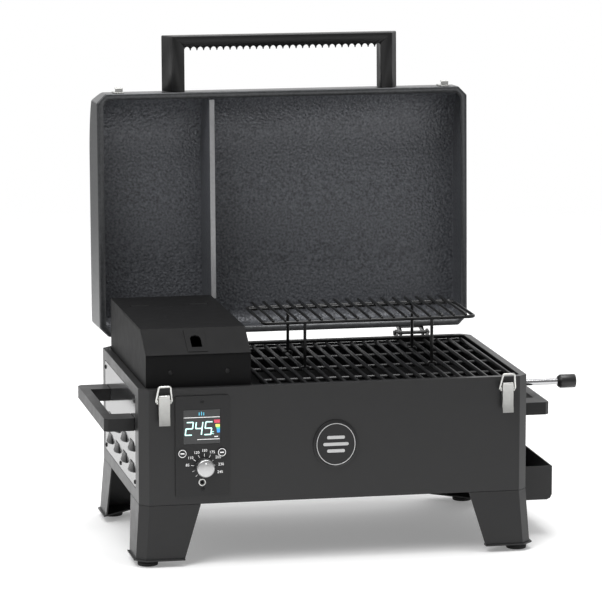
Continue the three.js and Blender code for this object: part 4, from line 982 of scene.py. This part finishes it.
def display():
    """Display window: a tinted lens, lit digits, two rules and a coloured heat scale."""
    x0, x1, z0, z1 = -203.1, -154.4, 161.3, 206.7
    bm = bmesh.new()
    prism(bm, "y", PANEL_FACE + 0.25, FRONT - 0.4, rounded_box(x0, x1, z0, z1, 0.6))
    piece("display_window", bm, SCREEN, "cabinet", ["display_lens"], bevel=0.15)
    lift = -0.15

    bm = bmesh.new()
    bar_mark(bm, x0 + 0.6, z1 - 10.2, x1 - 0.6, z1 - 10.2, 0.8, lift)
    bar_mark(bm, x0 + 18, z0 + 6.0, x1 - 0.6, z0 + 6.0, 0.8, lift)
    bar_mark(bm, x1 - 8.0, z0 + 9.2, x1 - 3.0, z0 + 9.2, 1.2, lift)
    piece("display_rules", bm, INK_PAINTED_GLOW, "cabinet")

    bm = bmesh.new()
    segments = {"2": "abged", "4": "fgbc", "5": "afgcd"}
    wide, tall, thick, slant = 8.6, 8.4, 1.5, 0.13
    for index, digit in enumerate("245"):
        left = x0 + 2.4 + 12.6 * index
        base = z0 + 12.2
        points = {"a": (0, 2, 1, 2), "b": (1, 2, 1, 1), "c": (1, 1, 1, 0), "d": (0, 0, 1, 0),
                  "e": (0, 1, 0, 0), "f": (0, 2, 0, 1), "g": (0, 1, 1, 1)}
        for key in segments[digit]:
            u0, v0, u1, v1 = points[key]
            ends = []
            for u, v in ((u0, v0), (u1, v1)):
                ends.append((left + wide * u + slant * tall * v, base + tall * v))
            bar_mark(bm, *ends[0], *ends[1], thick, lift)
    ring = arc(x1 - 9.6, z0 + 14.4, 1.7, 50, 310, 10)
    for (u0, v0), (u1, v1) in zip(ring, ring[1:]):
        bar_mark(bm, u0, v0, u1, v1, 0.6, lift)
    piece("display_digits", bm, DIGITS, "cabinet")

    scale = [((0.55, 0.06, 0.1), 27.2, 31.6, 8.4), ((0.75, 0.72, 0.16), 22.0, 25.6, 6.6),
             ((0.1, 0.55, 0.3), 19.6, 22.0, 5.6), ((0.06, 0.32, 0.75), 14.4, 19.6, 4.8)]
    for index, (color, low, high, width) in enumerate(scale):
        bm = bmesh.new()
        outline = [(x1 - width, z0 + high), (x1 - 0.5, z0 + high)]
        outline += [(x1 - 0.5, z0 + low), (x1 - width + 0.6, z0 + low)]
        flat_mark(bm, outline, lift)
        lit = glowing(f"scale_{index + 1}", color, 0.5)
        piece(f"heat_scale_{index + 1}", bm, lit, "cabinet")

    bm = bmesh.new()
    centre = (x0 + x1) / 2
    for k in range(3):
        bar_mark(bm, centre - 3.4 + 3 * k, z1 - 7.6, centre - 3.4 + 3 * k, z1 - 2.6 - abs(k - 1), 1.1, lift)
    piece("display_icon", bm, glowing("icon", (0.1, 0.45, 0.6), 0.5), "cabinet")


def selector():
    """Turned selector knob: a rounded face and a pointer dot."""
    bm = bmesh.new()
    back, front = PANEL_FACE - 0.5, PANEL_FACE - 14
    radius, depth = 12.0, back - front
    profile = [(0, -4), (3.0, -4), (3.0, 0), (radius - 0.5, 0), (radius, 0.5), (radius, depth - 3.0)]
    profile += [(radius - 0.35, depth - 1.5), (radius - 1.3, depth - 0.4), (radius - 2.6, depth), (0, depth)]
    lathe(bm, profile, (KNOB_X, back, KNOB_Z), (0, -1, 0), sides=72)
    piece("selector_knob", bm, KNOB_METAL, "control_knob", ["control_knob"], crease=50)
    bm = bmesh.new()
    dot = [(1.1, 0), (1.1, 0.25), (0.8, 0.4), (0, 0.4)]
    lathe(bm, dot, (KNOB_X, front, KNOB_Z + 7.0), (0, -1, 0), sides=20)
    piece("selector_pointer", bm, INK_PAINTED_GLOW, "control_knob")


def buttons():
    for side, x in (("left", -204.8), ("right", -152.6)):
        bm = bmesh.new()
        face = PANEL_FACE - 2
        profile = [(0, -5.5), (6.9, -5.5), (6.9, -4.6), (5.6, -4.4)]
        profile += [(5.6, 1.6), (5.4, 1.95), (5.2, 2.0), (0, 2.0)]
        lathe(bm, profile, (x, PANEL_FACE, 149.6), (0, -1, 0), sides=40)
        button = f"push_button_{side}"
        piece(f"button_cap_{side}", bm, PLASTIC, button, [button])
        bm = bmesh.new()
        ring = [(4.5, 0), (4.5, 0.12), (5.2, 0.12), (5.2, 0), (4.5, 0)]
        lathe(bm, ring, (x, face, 149.6), (0, -1, 0), sides=40)
        block(bm, (x - 2.6, face - 0.12, 148.9), (x + 2.6, face + 0.01, 150.3))
        piece(f"button_mark_{side}", bm, INK_PAINTED_GLOW, f"push_button_{side}")


def probe_socket():
    bm = bmesh.new()
    profile = [(3.5, 0.3), (4.8, 0.3), (4.8, 0.9), (4.5, 1.2), (3.7, 1.2), (3.5, 1.0), (3.5, 0.3)]
    lathe(bm, profile, (-178.7, PANEL_FACE, 110.5), (0, -1, 0), sides=36)
    piece("socket_ring", bm, WHITE, "cabinet", ["probe_socket"])
    bm = bmesh.new()
    sleeve = [(1.8, -9), (3.1, -9), (3.1, 0.3), (3.45, 0.3), (3.45, 0.8), (2.2, 0.8), (1.8, 0.4), (1.8, -9)]
    lathe(bm, sleeve, (-178.7, PANEL_FACE, 110.5), (0, -1, 0), sides=30)
    contact = [(0, -8.6), (1.7, -8.6), (1.7, -8.2), (0, -8.2)]
    lathe(bm, contact, (-178.7, PANEL_FACE, 110.5), (0, -1, 0), sides=20)
    piece("socket_sleeve", bm, PLASTIC, "cabinet")


def badge():
    """Oval plate: a dark rounded rim, a thin bright ring and three plain bars."""
    x, z = -0.5, 153.8
    low, high = corners("front_badge")
    back, front = high.y, low.y

    def oval(rx, rz, sides=64):
        angles = [2 * math.pi * k / sides for k in range(sides)]
        return [(x + rx * math.cos(a), z + rz * math.sin(a)) for a in angles]

    bm = bmesh.new()
    rings = [(back, 1.0), (front + 0.6, 1.0), (front, 0.975), (front, 0.925), (front + 0.8, 0.9)]
    for (y0, k0), (y1, k1) in zip(rings, rings[1:]):
        lower = [bm.verts.new((x + (px - x) * k0, y0, z + (pz - z) * k0)) for px, pz in oval(30, 32)]
        upper = [bm.verts.new((x + (px - x) * k1, y1, z + (pz - z) * k1)) for px, pz in oval(30, 32)]
        for i in range(64):
            j = (i + 1) % 64
            bm.faces.new([lower[i], lower[j], upper[j], upper[i]])
    prism(bm, "y", front + 0.8, back, oval(29, 31))
    piece("badge_field", bm, PANEL, "cabinet", ["front_badge"])
    bm = bmesh.new()
    prism(bm, "y", front + 0.3, back - 1.0, oval(26.0, 28.0), oval(25.0, 27.0))
    piece("badge_ring", bm, KNOB_METAL, "cabinet", bevel=0.15)
    bm = bmesh.new()
    for dz, half in ((-9, 12), (0, 17), (9, 12)):
        outline = rounded_box(x - half, x + half, z + dz - 2.2, z + dz + 2.2, 2.0)
        prism(bm, "y", front + 0.3, back - 1.0, outline)
    piece("badge_bars", bm, KNOB_METAL, "cabinet", bevel=0.3)


feet()
louvres()
grease_hardware()
slide_rod()
hopper_details()
cooking_grate()
warming_rack()
lid_shell()
lid_divider()
lid_handle()
lid_hardware()
latches()
control_plate()
dial()
display()
selector()
buttons()
probe_socket()
badge()
